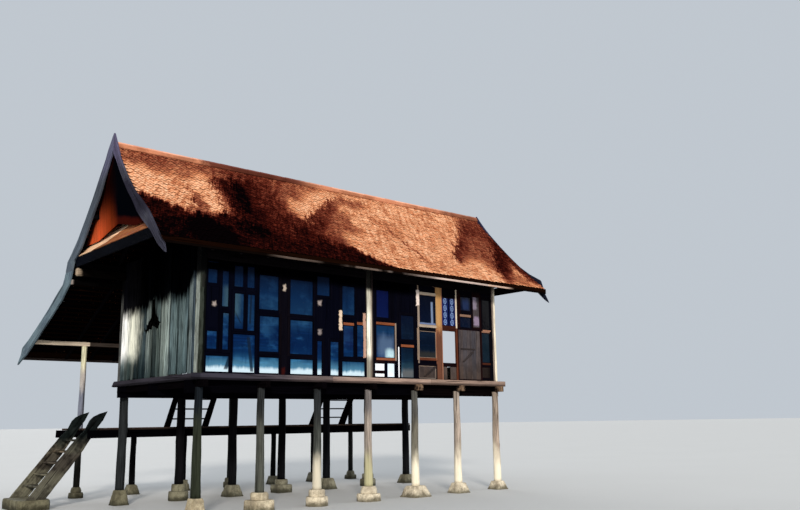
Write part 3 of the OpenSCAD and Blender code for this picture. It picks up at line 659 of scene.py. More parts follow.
DARK = stops((0.0, srgb(20, 18, 21)), (0.5, srgb(46, 38, 35)), (1.0, srgb(104, 90, 78)))
MAT["beam"] = wood("beam_dark", DARK, fibre=0.55, crack=0.8, wear=0.3, vary=0.25, bump=0.004, tone=under_tone, gloss=0.0)
# near-black timber for the roof frame, the verandah rafters and the head boards: painted shade under the roof
MAT["soot"] = wood("beam_painted_shade", stops((0.0, srgb(12, 10, 13)), (1.0, srgb(30, 24, 24))), fibre=0.5, crack=0.8, wear=0.25, vary=0.25, bump=0.004, gloss=0.0)
MAT["cross"] = wood("beam_cross", DARK, fibre=0.55, crack=0.8, wear=0.3, vary=0.25, tone=beam_tone, gloss=0.0)
MAT["beam_cad"] = wood("beam_dark_long", flat(srgb(20, 18, 21)), axis=0, fibre=0.55, tone=under_tone, gloss=0.0)


def floor_tone(m, x, y, z, col):
    trodden = m.math("MAXIMUM", m.smooth(z, 2.490, 2.496), m.mul(m.smooth(z, 1.530, 1.536), m.sub(1.0, m.smooth(z, 1.60, 1.62))))
    n = m.smooth(m.noise(m.pos(), 1.3, 4.0, 0.6), 0.35, 0.65)
    return m.mix(m.mul(trodden, m.lin(n, 0, 1, 0.55, 0.95)), col, m.mix(1.0, col, (3.4, 3.2, 3.0, 1), "MULTIPLY"))


MAT["floor"] = wood("floor_worn", stops((0.0, srgb(40, 30, 26)), (1.0, srgb(84, 66, 52))), fibre=0.5, vary=0.35, gloss=0.08, tone=floor_tone)


def sill_tone(m, x, y, z, col):
    n = m.noise(m.pos(), 1.1, 3.0)
    # painted light: pale towards the right, dark blue towards the left as shade
    lit = m.smooth(m.add(x, m.mul(m.sub(n, 0.5), 1.6)), 0.6, 5.2)
    col = m.mix(lit, m.mix(1.0, col, (0.15, 0.18, 0.28, 1), "MULTIPLY"), m.mix(1.0, col, (0.82, 0.78, 0.76, 1), "MULTIPLY"))
    # the lower part of the board is painted dark as shade
    low = m.sub(1.0, m.smooth(m.add(z, m.mul(m.sub(n, 0.5), 0.03)), 2.405, 2.440))
    left = m.smooth(m.math("MULTIPLY", x, -1.0), 0.02, 0.06)
    col = m.mix(m.mul(left, 0.8), col, m.mix(1.0, col, (0.45, 0.46, 0.48, 1), "MULTIPLY"))
    return m.mix(m.mul(low, 0.85), col, m.mix(1.0, col, (0.12, 0.11, 0.11, 1), "MULTIPLY"))


MAT["sill"] = wood("sill_weathered_painted_light", flat(srgb(168, 150, 142)), fibre=0.45, wear=0.3, tone=sill_tone, gloss=0.04)

# front wall paints: 0 navy black, .25 red brown, .5 orange, .75 grey beige, 1 cream
WALL_RAMP = stops(
    (0.0, srgb(5, 6, 16)), (0.13, srgb(13, 10, 14)), (0.25, srgb(38, 15, 13)), (0.38, srgb(96, 54, 38)), (0.5, srgb(170, 100, 66)),
    (0.62, srgb(124, 106, 94)), (0.75, srgb(152, 138, 126)), (0.88, srgb(204, 188, 168)), (1.0, srgb(240, 224, 198)),
)


def wall_tone(m, x, y, z, col):
    # painted shade under the eave
    up = m.smooth(m.add(z, m.mul(m.sub(m.noise(m.pos(), 2.2, 3.0), 0.5), 0.2)), 4.28, 4.50)
    rag = m.mul(m.sub(m.noise(m.pos(), 16.0, 3.0, 0.7), 0.5), 0.10)
    for box, soft, tint in (
        ((.190, .262, 3.735, 3.815), .022, srgb(150, 138, 132)),
        ((1.725, 1.790, 4.15, 4.27), .022, srgb(176, 160, 146)),
        ((2.570, 2.655, 3.93, 4.03), .022, srgb(146, 134, 130)),
        ((2.570, 2.655, 3.34, 3.44), .022, srgb(126, 116, 114)),
        ((3.105, 3.178, 3.45, 3.87), .012, srgb(214, 190, 166)),
        ((3.735, 3.812, 2.92, 3.86), .010, srgb(178, 140, 122)),
        ((1.715, 1.785, 2.50, 2.64), .030, srgb(48, 14, 11)),
        ((5.268, 5.350, 4.14, 4.50), .012, srgb(222, 206, 198)),
    ):
        col = m.mix(m.mul(patch(m, x, z, box, soft, rag), 0.9), col, tint)
    # the wide mullion is only orange over the top half
    wide = m.mul(m.mul(m.smooth(x, 5.85, 5.87), m.sub(1.0, m.smooth(x, 6.02, 6.04))), m.sub(1.0, m.smooth(m.add(z, m.mul(rag, 3.0)), 3.45, 3.80)))
    high = m.mul(m.mul(m.smooth(x, 5.85, 5.87), m.sub(1.0, m.smooth(x, 6.02, 6.04))), m.smooth(m.add(z, m.mul(rag, 3.0)), 3.45, 3.80))
    col = m.mix(m.mul(high, 0.75), col, srgb(176, 138, 88))
    col = m.mix(m.mul(wide, 0.85), col, srgb(76, 50, 40))
    return darker(m, col, m.mul(m.mul(up, m.sub(1.0, m.smooth(x, 5.0, 5.3))), 0.95), 0.06)


MAT["frames"] = wood("frames_painted", WALL_RAMP, fibre=0.4, crack=0.55, wear=0.20, vary=0.18, tone=wall_tone, bump=0.002, fine=90.0, gloss=0.0)


def panel_tone(m, x, y, z, col):
    low = m.sub(1.0, m.smooth(m.add(z, m.mul(m.noise(m.pos(), 3.0, 3.0), 0.4)), 2.75, 3.35))
    col = m.mix(m.mul(low, 0.8), col, m.mix(1.0, col, (0.86, 0.72, 0.56, 1), "MULTIPLY"))
    n = m.mul(m.sub(m.noise(m.pos(), 14.0, 3.0, 0.7), 0.5), 0.12)
    blot = m.smooth(m.noise(m.pos(), 4.0, 4.0, 0.6), 0.45, 0.62)
    col = m.mix(m.mul(blot, 0.5), col, m.mix(1.0, col, (0.6, 0.62, 0.66, 1), "MULTIPLY"))
    col = m.mix(m.mul(patch(m, x, z, (7.08, 7.22, 4.20, 4.50), 0.03, n), 0.8), col, srgb(128, 118, 134))
    return m.mix(m.mul(patch(m, x, z, (7.12, 7.30, 3.80, 4.02), 0.03, n), 0.8), col, srgb(134, 118, 140))


MAT["panels"] = wood("panels_grey", stops((0.0, srgb(40, 36, 44)), (0.5, srgb(78, 72, 74)), (1.0, srgb(24, 19, 18))), fibre=0.4, vary=0.12, tone=panel_tone, bump=0.002, fine=90.0, gloss=0.03)


def plank_tone(m, x, y, z, col):
    n = m.noise(m.pos(), 2.4, 3.0)
    tall = m.noise(m.vmul(m.pos(), (1.0, 22.0, 1.3)), 1.0, 4.0, 0.65)
    zz = m.add(z, m.mul(m.sub(n, 0.5), 0.35))
    zz = m.add(zz, m.mul(m.sub(tall, 0.5), 0.5))
    # damp runs down the boards
    col = m.mix(m.mul(m.smooth(tall, 0.50, 0.62), 0.75), col, m.mix(1.0, col, (0.22, 0.24, 0.25, 1), "MULTIPLY"))
    # painted shadow of the gable overhang: black above a line that is higher at the front
    limit = m.math("ADD", m.math("MULTIPLY", m.sub(1.0, m.smooth(y, 0.1, 0.55)), 0.38), 3.98)
    limit = m.sub(limit, m.mul(m.smooth(y, 1.9, 2.5), 0.12))
    shade = m.smooth(m.sub(zz, limit), -0.16, 0.10)
    # painted sunlight: the rear boards go near white below the shadow
    pale = m.mul(m.smooth(m.add(y, m.mul(m.sub(n, 0.5), 0.5)), 2.35, 2.85), m.smooth(zz, 2.75, 3.15))
    pale = m.mul(pale, m.sub(1.0, m.mul(m.smooth(tall, 0.5, 0.62), 0.6)))
    col = m.mix(m.mul(pale, 0.95), col, m.mix(m.smooth(y, 2.9, 3.3), srgb(232, 232, 214), srgb(255, 254, 250)))
    foot = m.sub(1.0, m.smooth(zz, 2.55, 3.15))
    rearward = m.smooth(y, 1.1, 2.2)
    col = darker(m, col, m.mul(foot, m.lin(rearward, 0, 1, 0.45, 0.95)), (0.30, 0.36, 0.40, 1))
    col = m.mix(m.mul(m.sub(1.0, m.smooth(y, 1.0, 1.6)), 0.6), col, m.mix(1.0, col, (2.3, 2.35, 2.4, 1), "MULTIPLY"))
    # mauve towards the corner post, black joints between the boards
    col = m.mix(m.mul(m.sub(1.0, m.smooth(y, 0.10, 0.55)), 0.6), col, m.mix(1.0, col, (0.66, 0.60, 0.78, 1), "MULTIPLY"))
    wy = m.add(y, m.mul(m.sub(m.noise(m.vmul(m.pos(), (1.0, 3.0, 2.2)), 1.0, 3.0), 0.5), 0.05))
    for gy, wide in ((.397, .020), (.796, .026), (1.154, .018), (1.551, .022), (1.909, .020), (2.212, .014), (2.509, .016), (2.754, .010), (3.056, .008)):
        near = m.sub(1.0, m.smooth(m.math("ABSOLUTE", m.sub(wy, gy)), wide * 0.5, wide * 1.6))
        col = darker(m, col, m.mul(near, 0.85), (0.10, 0.11, 0.12, 1))
    return darker(m, col, shade, (0.004, 0.004, 0.006, 1))


MAT["planks"] = wood("planks_grey_painted_light", stops((0.0, srgb(48, 62, 70)), (0.5, srgb(94, 108, 106)), (1.0, srgb(166, 174, 166))), fibre=0.7, crack=1.0, wear=0.2, vary=0.26, tone=plank_tone, fine=34.0, bump=0.008, gloss=0.0)
MAT["planks_in"] = wood("planks_plain", stops((0.0, srgb(96, 92, 88)), (1.0, srgb(136, 128, 118))), fibre=0.5, vary=0.22)


def pale_tone(m, x, y, z, col):
    # the short bracket is pale only at its outer end; further in, and on the right one, it is painted black as shade
    here = m.mul(m.smooth(z, 4.60, 4.63), m.sub(1.0, m.smooth(z, 4.81, 4.83)))
    inner = m.smooth(m.add(x, m.mul(m.sub(m.noise(m.pos(), 7.0, 3.0), 0.5), 0.16)), -1.09, -1.00)
    col = darker(m, col, m.mul(here, m.sub(1.0, m.smooth(x, 0.0, 0.1))), 0.48)
    col = darker(m, col, m.mul(here, inner), (0.01, 0.01, 0.012, 1))
    # the wall purlin of the low roof is painted black as shade, only its left end stays pale
    inside = m.mul(m.smooth(z, 4.2, 4.22), m.smooth(y, 3.50, 3.52))
    inside = m.mul(inside, m.sub(1.0, m.smooth(y, 3.70, 3.72)))
    col = darker(m, col, m.mul(inside, m.smooth(x, -1.12, -1.07)), 0.10)
    return m.mix(m.mul(inside, m.sub(1.0, m.smooth(x, -1.15, -1.08))), col, srgb(158, 146, 138))


MAT["pale"] = wood("pale_timber", stops((0.0, srgb(24, 20, 24)), (0.5, srgb(150, 136, 124)), (1.0, srgb(226, 208, 186))), fibre=0.4, crack=0.6, wear=0.25, vary=0.12, tone=pale_tone, gloss=0.0)


def barge_tone(m, x, y, z, col):
    n = m.noise(m.pos(), 3.0, 4.0)
    # painted light: paler in patches, more of them lower down
    lit = m.smooth(m.add(n, m.mul(m.sub(4.6, z), 0.10)), 0.48, 0.62)
    col = m.mix(m.mul(lit, 0.45), col, m.mix(1.0, col, (1.75, 1.80, 1.60, 1), "MULTIPLY"))
    # mauve and paler at the peak, nearly black half way down the front
    peak = m.smooth(z, 6.25, 6.75)
    col = m.mix(m.mul(peak, 0.7), col, m.mix(1.0, col, (2.15, 1.85, 2.45, 1), "MULTIPLY"))
    knee = m.mul(m.mul(m.smooth(z, 5.15, 5.45), m.sub(1.0, m.smooth(m.add(z, m.mul(m.sub(n, 0.5), 0.5)), 5.95, 6.20))), m.sub(1.0, m.smooth(y, 1.2, 1.6)))
    col = darker(m, col, m.mul(knee, 0.85), (0.30, 0.27, 0.36, 1))
    rear = m.smooth(y, 2.2, 2.9)
    col = m.mix(m.mul(rear, 0.7), col, m.mix(1.0, col, (1.75, 1.95, 1.95, 1), "MULTIPLY"))
    # the front boards are darker towards their tips, the right one most
    tip = m.mul(m.sub(1.0, m.smooth(y, -0.35, 0.55)), m.sub(1.0, m.smooth(z, 4.75, 5.9)))
    col = darker(m, col, m.mul(tip, 0.55), (0.5, 0.5, 0.62, 1))
    return darker(m, col, m.mul(m.smooth(x, 8.0, 8.5), 0.8), (0.22, 0.24, 0.32, 1))


MAT["barge"] = wood("barge_weathered_painted_light", stops((0.0, srgb(46, 42, 62)), (0.5, srgb(84, 92, 98)), (0.85, srgb(30, 30, 44)), (1.0, srgb(2, 3, 8))), fibre=0.5, crack=0.8, wear=0.35, vary=0.08, tone=barge_tone, fine=50.0, gloss=0.02)


def skirt_tone(m, x, y, z, col):
    n = m.noise(m.pos(), 3.2, 3.0)
    # painted sunlight behind the rear side of the open V, painted shade in tan below it, with a dark line between
    sunlit_edge = m.sub(z, m.math("MAXIMUM", m.math("MAXIMUM", m.add(5.42, m.mul(m.sub(1.665, y), 0.727)), m.add(5.12, m.mul(m.sub(2.11, y), 0.174))), m.mul(m.sub(1.0, m.smooth(y, 1.50, 1.62)), 9.0)))
    t = m.smooth(m.add(sunlit_edge, m.mul(m.sub(n, 0.5), 0.02)), -0.012, 0.012)
    tan = m.mix(1.0, col, m.mix(m.smooth(m.noise(m.pos(), 7.0, 3.0), 0.4, 0.6), (0.46, 0.26, 0.13, 1), (0.40, 0.17, 0.10, 1)), "MULTIPLY")
    col = m.mix(t, tan, m.mix(1.0, col, (1.30, 1.28, 1.26, 1), "MULTIPLY"))
    line = m.sub(1.0, m.smooth(m.math("ABSOLUTE", m.add(sunlit_edge, 0.018)), 0.008, 0.030))
    line = m.mul(line, m.sub(1.0, m.smooth(z, 5.15, 5.25)))
    return m.mix(m.mul(line, 0.6), col, srgb(84, 50, 18))


MAT["skirt"] = wood("skirt_boards", stops((0.0, srgb(218, 176, 138)), (1.0, srgb(244, 214, 184))), fibre=0.35, crack=0.6, wear=0.2, vary=0.10, tone=skirt_tone)


def screen_tone(m, x, y, z, col):
    # painted light: the rear half is sunlit orange, brightest low down, with painted shade along the bargeboard; the
    # front half is black as shade, with dull red reflected light at its foot
    n = m.noise(m.pos(), 2.6, 3.0)
    yy = m.add(y, m.mul(m.sub(n, 0.5), 0.25))
    back = m.smooth(yy, 1.58, 1.98)
    low = m.sub(1.0, m.smooth(z, 5.32, 6.55))
    sunlit_rear = m.mix(m.mul(low, m.mul(low, low)), srgb(26, 9, 8), srgb(184, 92, 52))
    sunlit_rear = m.mix(1.0, sunlit_rear, m.mix(m.smooth(yy, 1.85, 2.65), (0.42, 0.38, 0.32, 1), (1.15, 1.10, 1.10, 1)), "MULTIPLY")
    rim = m.smooth(m.sub(y, m.mul(m.sub(7.02, z), 0.93)), 1.36, 1.54)
    sunlit_rear = m.mix(m.mul(rim, 0.8), sunlit_rear, srgb(38, 9, 9))
    sunlit_rear = m.mix(1.0, sunlit_rear, m.mix(0.5, (1, 1, 1, 1), m.mix(1.0, col, (8, 8, 8, 1), "MULTIPLY")), "MULTIPLY")
    foot = m.sub(z, m.math("MINIMUM", m.math("SUBTRACT", 5.43, m.mul(m.sub(1.635, y), 0.23)), 5.43))
    shaded_front = m.mix(m.sub(1.0, m.smooth(m.add(foot, m.mul(m.sub(n, 0.5), 0.08)), 0.10, 0.20)), srgb(2, 3, 6), srgb(46, 11, 7))
    col = m.mix(back, shaded_front, sunlit_rear)
    return col


MAT["screen"] = wood("screen_boards", stops((0.0, srgb(84, 48, 36)), (1.0, srgb(110, 62, 44))), fibre=0.45, crack=0.5, vary=0.15, tone=screen_tone, gloss=0.0)


# painted sunlight and shadow on the front slope: middle (x, metres below the ridge),
# half length and half width, turn, tone from 0 pale clay in sun to 1 black shadow, strength
ROOF_SUN_AND_SHADOW = (
    ((1.45, 0.06), (2.60, 0.24), 0, 0.54, 0.80),
    ((3.05, 1.48), (0.36, 0.32), 0, 0.62, 0.90),
    ((-0.35, 0.50), (0.60, 0.10), 38, 0.30, 0.70),
    ((2.50, 0.62), (0.62, 0.62), -20, 0.56, 0.90),
    ((1.95, 0.85), (0.42, 0.90), 6, 0.70, 0.90),
    ((3.32, 0.50), (0.88, 0.19), -27, 0.15, 0.95),
    ((2.72, 0.84), (0.22, 0.34), -20, 0.14, 0.85),
    ((3.55, 1.08), (0.74, 0.36), -20, 0.50, 0.90),
    ((2.92, 1.18), (0.80, 0.17), -44, 0.72, 0.95),
    ((3.62, 0.62), (0.55, 0.13), -36, 0.60, 0.95),
    ((4.45, 0.33), (0.55, 0.11), -6, 0.48, 0.85),
    ((3.72, 1.55), (0.30, 0.24), 20, 0.18, 0.85),
    ((4.28, 0.92), (0.22, 0.20), 0, 0.10, 0.80),
    ((5.12, 0.92), (0.36, 0.30), 12, 0.34, 0.75),
    ((5.30, 1.45), (0.52, 0.055), 62, 0.52, 0.85),
    ((5.62, 2.05), (0.28, 0.05), 48, 0.50, 0.80),
    ((6.22, 1.30), (0.32, 0.06), -52, 0.34, 0.80),
    ((6.95, 0.70), (0.30, 0.11), 80, 0.34, 0.80),
    ((8.02, 0.66), (0.62, 0.22), -38, 0.74, 0.95),
    ((7.38, 1.10), (0.56, 0.18), -42, 0.76, 0.95),
    ((6.82, 1.50), (0.46, 0.105), -50, 0.72, 0.90),
    ((7.28, 1.40), (0.46, 0.26), -38, 0.56, 0.85),
    ((8.60, 0.42), (0.70, 0.46), -28, 0.62, 0.95),
    ((8.10, 1.28), (0.42, 0.66), 34, 0.55, 0.88),
    ((7.92, 0.95), (0.42, 0.32), 0, 0.52, 0.80),
    ((8.42, 1.46), (1.00, 0.23), -50, 0.80, 0.95),
    ((9.02, 1.35), (0.30, 0.85), 0, 0.76, 0.92),
    ((8.38, 2.12), (0.34, 0.24), 0, 0.40, 0.90),
    ((7.25, 1.88), (0.30, 0.36), 0, 0.10, 0.80),
    ((-0.20, 0.24), (1.10, 0.24), 0, 0.52, 0.85),
    ((-0.75, 0.75), (0.40, 0.32), 0, 0.10, 0.80),
    ((0.12, 1.12), (0.12, 0.36), 12, 0.58, 0.85),
    ((0.42, 0.72), (0.20, 0.44), 8, 0.08, 0.80),
    ((6.10, 2.00), (1.10, 0.22), 0, 0.22, 0.70),
    ((6.60, 1.05), (0.70, 0.30), -30, 0.20, 0.60),
    ((0.10, 0.36), (0.28, 0.22), -30, 0.36, 0.75),
)


def tile(name, front):
    m = M(name)
    x, y, z = m.sep(m.pos())
    rn, rm, pt = m.sep(m.attr("tn"))
    u, v, w = m.sep(m.attr("loc"))
    n1 = m.noise(m.pos(), 0.9, 4.0, 0.6)
    n2 = m.noise(m.pos(), 3.2, 4.0, 0.65)
    n3 = m.noise(m.pos(), 60.0, 3.0, 0.6)
    # d is the distance from the ridge
    d = m.math("ABSOLUTE", m.sub(y, RIDGE_Y))
    # streaks run down the slope and lean a little: rain streaks with painted shadows of fronds among them
    lean = m.comb(m.add(x, m.mul(d, 0.55)), m.sub(d, m.mul(x, 0.30)), 0.0)
    streak = m.noise(m.vmul(lean, (11.0, 2.2, 1.0)), 1.0, 4.0, 0.6)
    fine = m.noise(m.vmul(lean, (30.0, 7.0, 1.0)), 1.0, 4.0, 0.65)
    if front:
        wx = m.add(x, m.mul(m.sub(n2, 0.5), 0.55))
        wx = m.add(wx, m.mul(m.sub(n1, 0.5), 0.25))
        wx = m.add(wx, m.mul(m.sub(fine, 0.5), 0.42))
        wd = m.add(d, m.mul(m.sub(n2, 0.5), -0.22))
        wd = m.add(wd, m.mul(m.sub(streak, 0.5), 0.34))
        wd = m.add(wd, m.mul(m.sub(fine, 0.5), 0.22))
        # painted shadow over the foot of the slope at the left, none at the right
        lim = m.ramp(m.lin(wx, -1.2, 4.8, 0.0, 1.0), [(0.0, (.46, .46, .46, 1)), (.08, (.50, .50, .50, 1)), (.15, (.59, .59, .59, 1)), (.21, (.61, .61, .61, 1)), (.29, (.54, .54, .54, 1)), (.33, (.10, .10, .10, 1)), (.52, (.10, .10, .10, 1)), (.68, (.62, .62, .62, 1)), (.78, (.80, .80, .80, 1)), (.92, (.99, .99, .99, 1)), (1.0, (1.2, 1.2, 1.2, 1))])
        foot = m.smooth(m.sub(m.mul(wd, 0.4167), lim), -0.045, 0.060)
        run = m.mul(m.smooth(wx, 0.60, 1.38), m.sub(1.0, m.smooth(wx, 1.75, 2.75)))
        # brown, half-strength painted shadow between the pale left corner and the shadowed run beside it
        deep = m.math("MAXIMUM", m.smooth(wd, 1.20, 1.45), m.math("MAXIMUM", m.smooth(wx, 0.66, 1.00), m.sub(1.0, m.smooth(wx, 0.30, 0.55))))
        shade = m.math("MAXIMUM", m.mul(foot, m.lin(deep, 0, 1, 0.42, 0.88)), m.mul(run, 0.86))
        ground = m.lin(m.add(m.mul(n2, 0.6), m.mul(streak, 0.4)), 0.34, 0.66, 0.02, 0.34)
        shade = m.math("MAXIMUM", shade, ground)
        for at, size, turn, tone, k in ROOF_SUN_AND_SHADOW:
            shade = m.add(shade, m.mul(m.mul(oval(m, wx, wd, at, size, turn, 0.5), k), m.sub(tone, shade)))
        for at, size, turn in (((0.10, 1.88), (0.52, 0.48), 0), ((1.28, 0.80), (0.22, 0.75), 10), ((1.00, 1.70), (0.60, 0.42), 0)):
            shade = m.math("MAXIMUM", shade, m.mul(oval(m, wx, wd, at, size, turn, 0.6), 1.0))
        shade = m.math("MAXIMUM", shade, m.mul(oval(m, wx, wd, (-0.02, 2.02), (0.72, 0.62), 0, 0.5), 1.14))
        low = m.mul(m.smooth(wd, 1.45, 1.75), m.sub(1.0, m.smooth(wx, 0.5, 1.2)))
        shade = m.math("MAXIMUM", shade, m.mul(low, 0.97))
    else:
        shade = m.lin(m.add(m.mul(n1, 0.75), m.mul(streak, 0.25)), 0.36, 0.64, 0.16, 0.66)
    tone = m.add(shade, m.mul(m.sub(streak, 0.5), 0.40))
    tone = m.add(tone, m.mul(m.sub(fine, 0.5), 0.52))
    tone = m.math("ADD", tone, m.mul(m.sub(rn, 0.5), 0.12), clamp=True)
    col = m.ramp(tone, [(0.0, srgb(238, 184, 146)), (0.14, srgb(220, 158, 118)), (0.28, srgb(192, 124, 86)), (0.42, srgb(152, 88, 62)), (0.58, srgb(106, 48, 34)), (0.74, srgb(60, 18, 12)), (0.88, srgb(30, 7, 6)), (1.0, srgb(5, 2, 3))])
    col = m.mix(0.5, col, m.mix(1.0, col, m.mix(rm, (1.10, 0.98, 0.90, 1), (0.90, 1.0, 1.08, 1)), "MULTIPLY"))
    # lichen, painted shade where each tile runs under the next course, worn butts
    col = m.mix(m.mul(m.smooth(n3, 0.58, 0.72), 0.25), col, m.mix(1.0, col, (0.5, 0.48, 0.45, 1), "MULTIPLY"))
    edge = m.sub(1.0, m.smooth(u, 0.0, 0.012))
    col = m.mix(m.mul(edge, 0.25), col, m.mix(1.0, col, (1.4, 1.3, 1.2, 1), "MULTIPLY"))
    under = m.smooth(u, 0.060, 0.090)
    col = m.mix(m.mul(under, 0.55), col, m.mix(1.0, col, (0.35, 0.30, 0.28, 1), "MULTIPLY"))
    # the lower face is painted black as shade, and only brown-red at the left gable's rear, as painted reflected light
    low = m.smooth(w, 0.0035, 0.0065)
    near = m.mul(m.sub(1.0, m.smooth(x, -0.98, -0.80)), m.mul(m.smooth(y, 1.7, 2.0), m.sub(1.0, m.smooth(y, 2.8, 3.2))))
    col = m.mix(low, col, m.mix(near, srgb(4, 3, 4), srgb(40, 12, 11)))
    # the heads, seen from below between the battens, are painted black as shade too
    col = m.mix(m.smooth(u, 0.150, 0.168), col, srgb(5, 3, 4))
    h = m.add(m.mul(n3, 0.4), m.mul(m.noise(m.pos(), 170.0, 2.0), 0.3))
    return m.shade(col, m.lin(n2, 0.3, 0.7, 0.80, 0.94), m.bump(h, 0.6, 0.003), Specular_IOR_Level=0.0)


MAT["tile_front"] = tile("tile_clay_front", True)
MAT["tile_back"] = tile("tile_clay_back", False)


def ridge_mat():
    m = M("ridge_clay")
    x, y, z = m.sep(m.pos())
    rn, rm, pt = m.sep(m.attr("tn"))
    n1 = m.noise(m.pos(), 2.1, 4.0, 0.6)
    n2 = m.noise(m.pos(), 30.0, 4.0, 0.6)
    col = m.mix(rn, srgb(222, 166, 140), srgb(190, 128, 104))
    wx = m.add(x, m.mul(m.sub(n1, 0.5), 0.9))
    dk = m.mul(m.smooth(wx, 0.6, 0.9), m.sub(1.0, m.smooth(wx, 3.0, 3.9)))
    dk = m.math("MAXIMUM", m.mul(dk, 0.9), m.mul(m.smooth(wx, 7.3, 8.1), 0.6))
    col = m.mix(dk, col, srgb(84, 36, 34))
    col = m.mix(m.mul(m.smooth(n1, 0.52, 0.7), 0.5), col, m.mix(1.0, col, (0.55, 0.5, 0.5, 1), "MULTIPLY"))
    col = m.mix(m.mul(m.smooth(n2, 0.56, 0.7), 0.4), col, m.mix(1.0, col, (0.6, 0.56, 0.54, 1), "MULTIPLY"))
    side = m.sub(1.0, m.smooth(m.add(z, m.mul(m.sub(n2, 0.5), 0.02)), 7.036, 7.060))
    worn = m.mix(dk, srgb(176, 112, 80), srgb(66, 24, 18))
    col = m.mix(m.mul(side, 0.88), col, m.mix(m.smooth(n1, 0.4, 0.6), worn, m.mix(1.0, worn, (0.6, 0.55, 0.5, 1), "MULTIPLY")))
    return m.shade(col, m.lin(n1, 0.3, 0.7, 0.72, 0.9), m.bump(n2, 0.7, 0.006), Specular_IOR_Level=0.02)


MAT["ridge"] = ridge_mat()


def stone_mat():
    m = M("base_cast_stone")
    x, y, z = m.sep(m.pos())
    rn, rm, pt = m.sep(m.attr("tn"))
    n1 = m.noise(m.pos(), 5.0, 5.0, 0.65)
    n2 = m.noise(m.pos(), 45.0, 4.0, 0.6)
    n3 = m.noise(m.vmul(m.pos(), (16, 16, 3.0)), 1.0, 3.0, 0.6)
    col = m.mix(m.smooth(n1, 0.35, 0.65), srgb(158, 146, 126), srgb(214, 202, 178))
    col = m.mix(m.mul(m.smooth(n2, 0.52, 0.68), 0.6), col, srgb(120, 108, 92))
    col = m.mix(m.mul(m.smooth(n3, 0.52, 0.7), 0.5), col, srgb(120, 112, 92))
    foot_dark = m.sub(1.0, m.smooth(m.add(z, m.mul(m.sub(n1, 0.5), 0.16)), 0.02, 0.14))
    col = m.mix(m.mul(foot_dark, 0.8), col, srgb(70, 66, 50))
    warm = m.smooth(x, -0.5, 3.5)
    col = m.mix(warm, m.mix(1.0, col, (0.72, 0.70, 0.62, 1), "MULTIPLY"), col)
    # painted shade under the house on the rear bases
    back = m.smooth(y, 1.2, 3.0)
    col = m.mix(m.mul(back, 0.9), col, m.mix(1.0, col, (0.26, 0.29, 0.27, 1), "MULTIPLY"))
    pits = m.smooth(m.noise(m.pos(), 90.0, 2.0), 0.62, 0.72)
    h = m.sub(m.add(m.mul(n1, 0.5), m.mul(n2, 0.5)), m.mul(pits, 0.5))
    return m.shade(col, 0.93, m.bump(h, 0.9, 0.010), Specular_IOR_Level=0.2)


MAT["stone"] = stone_mat()


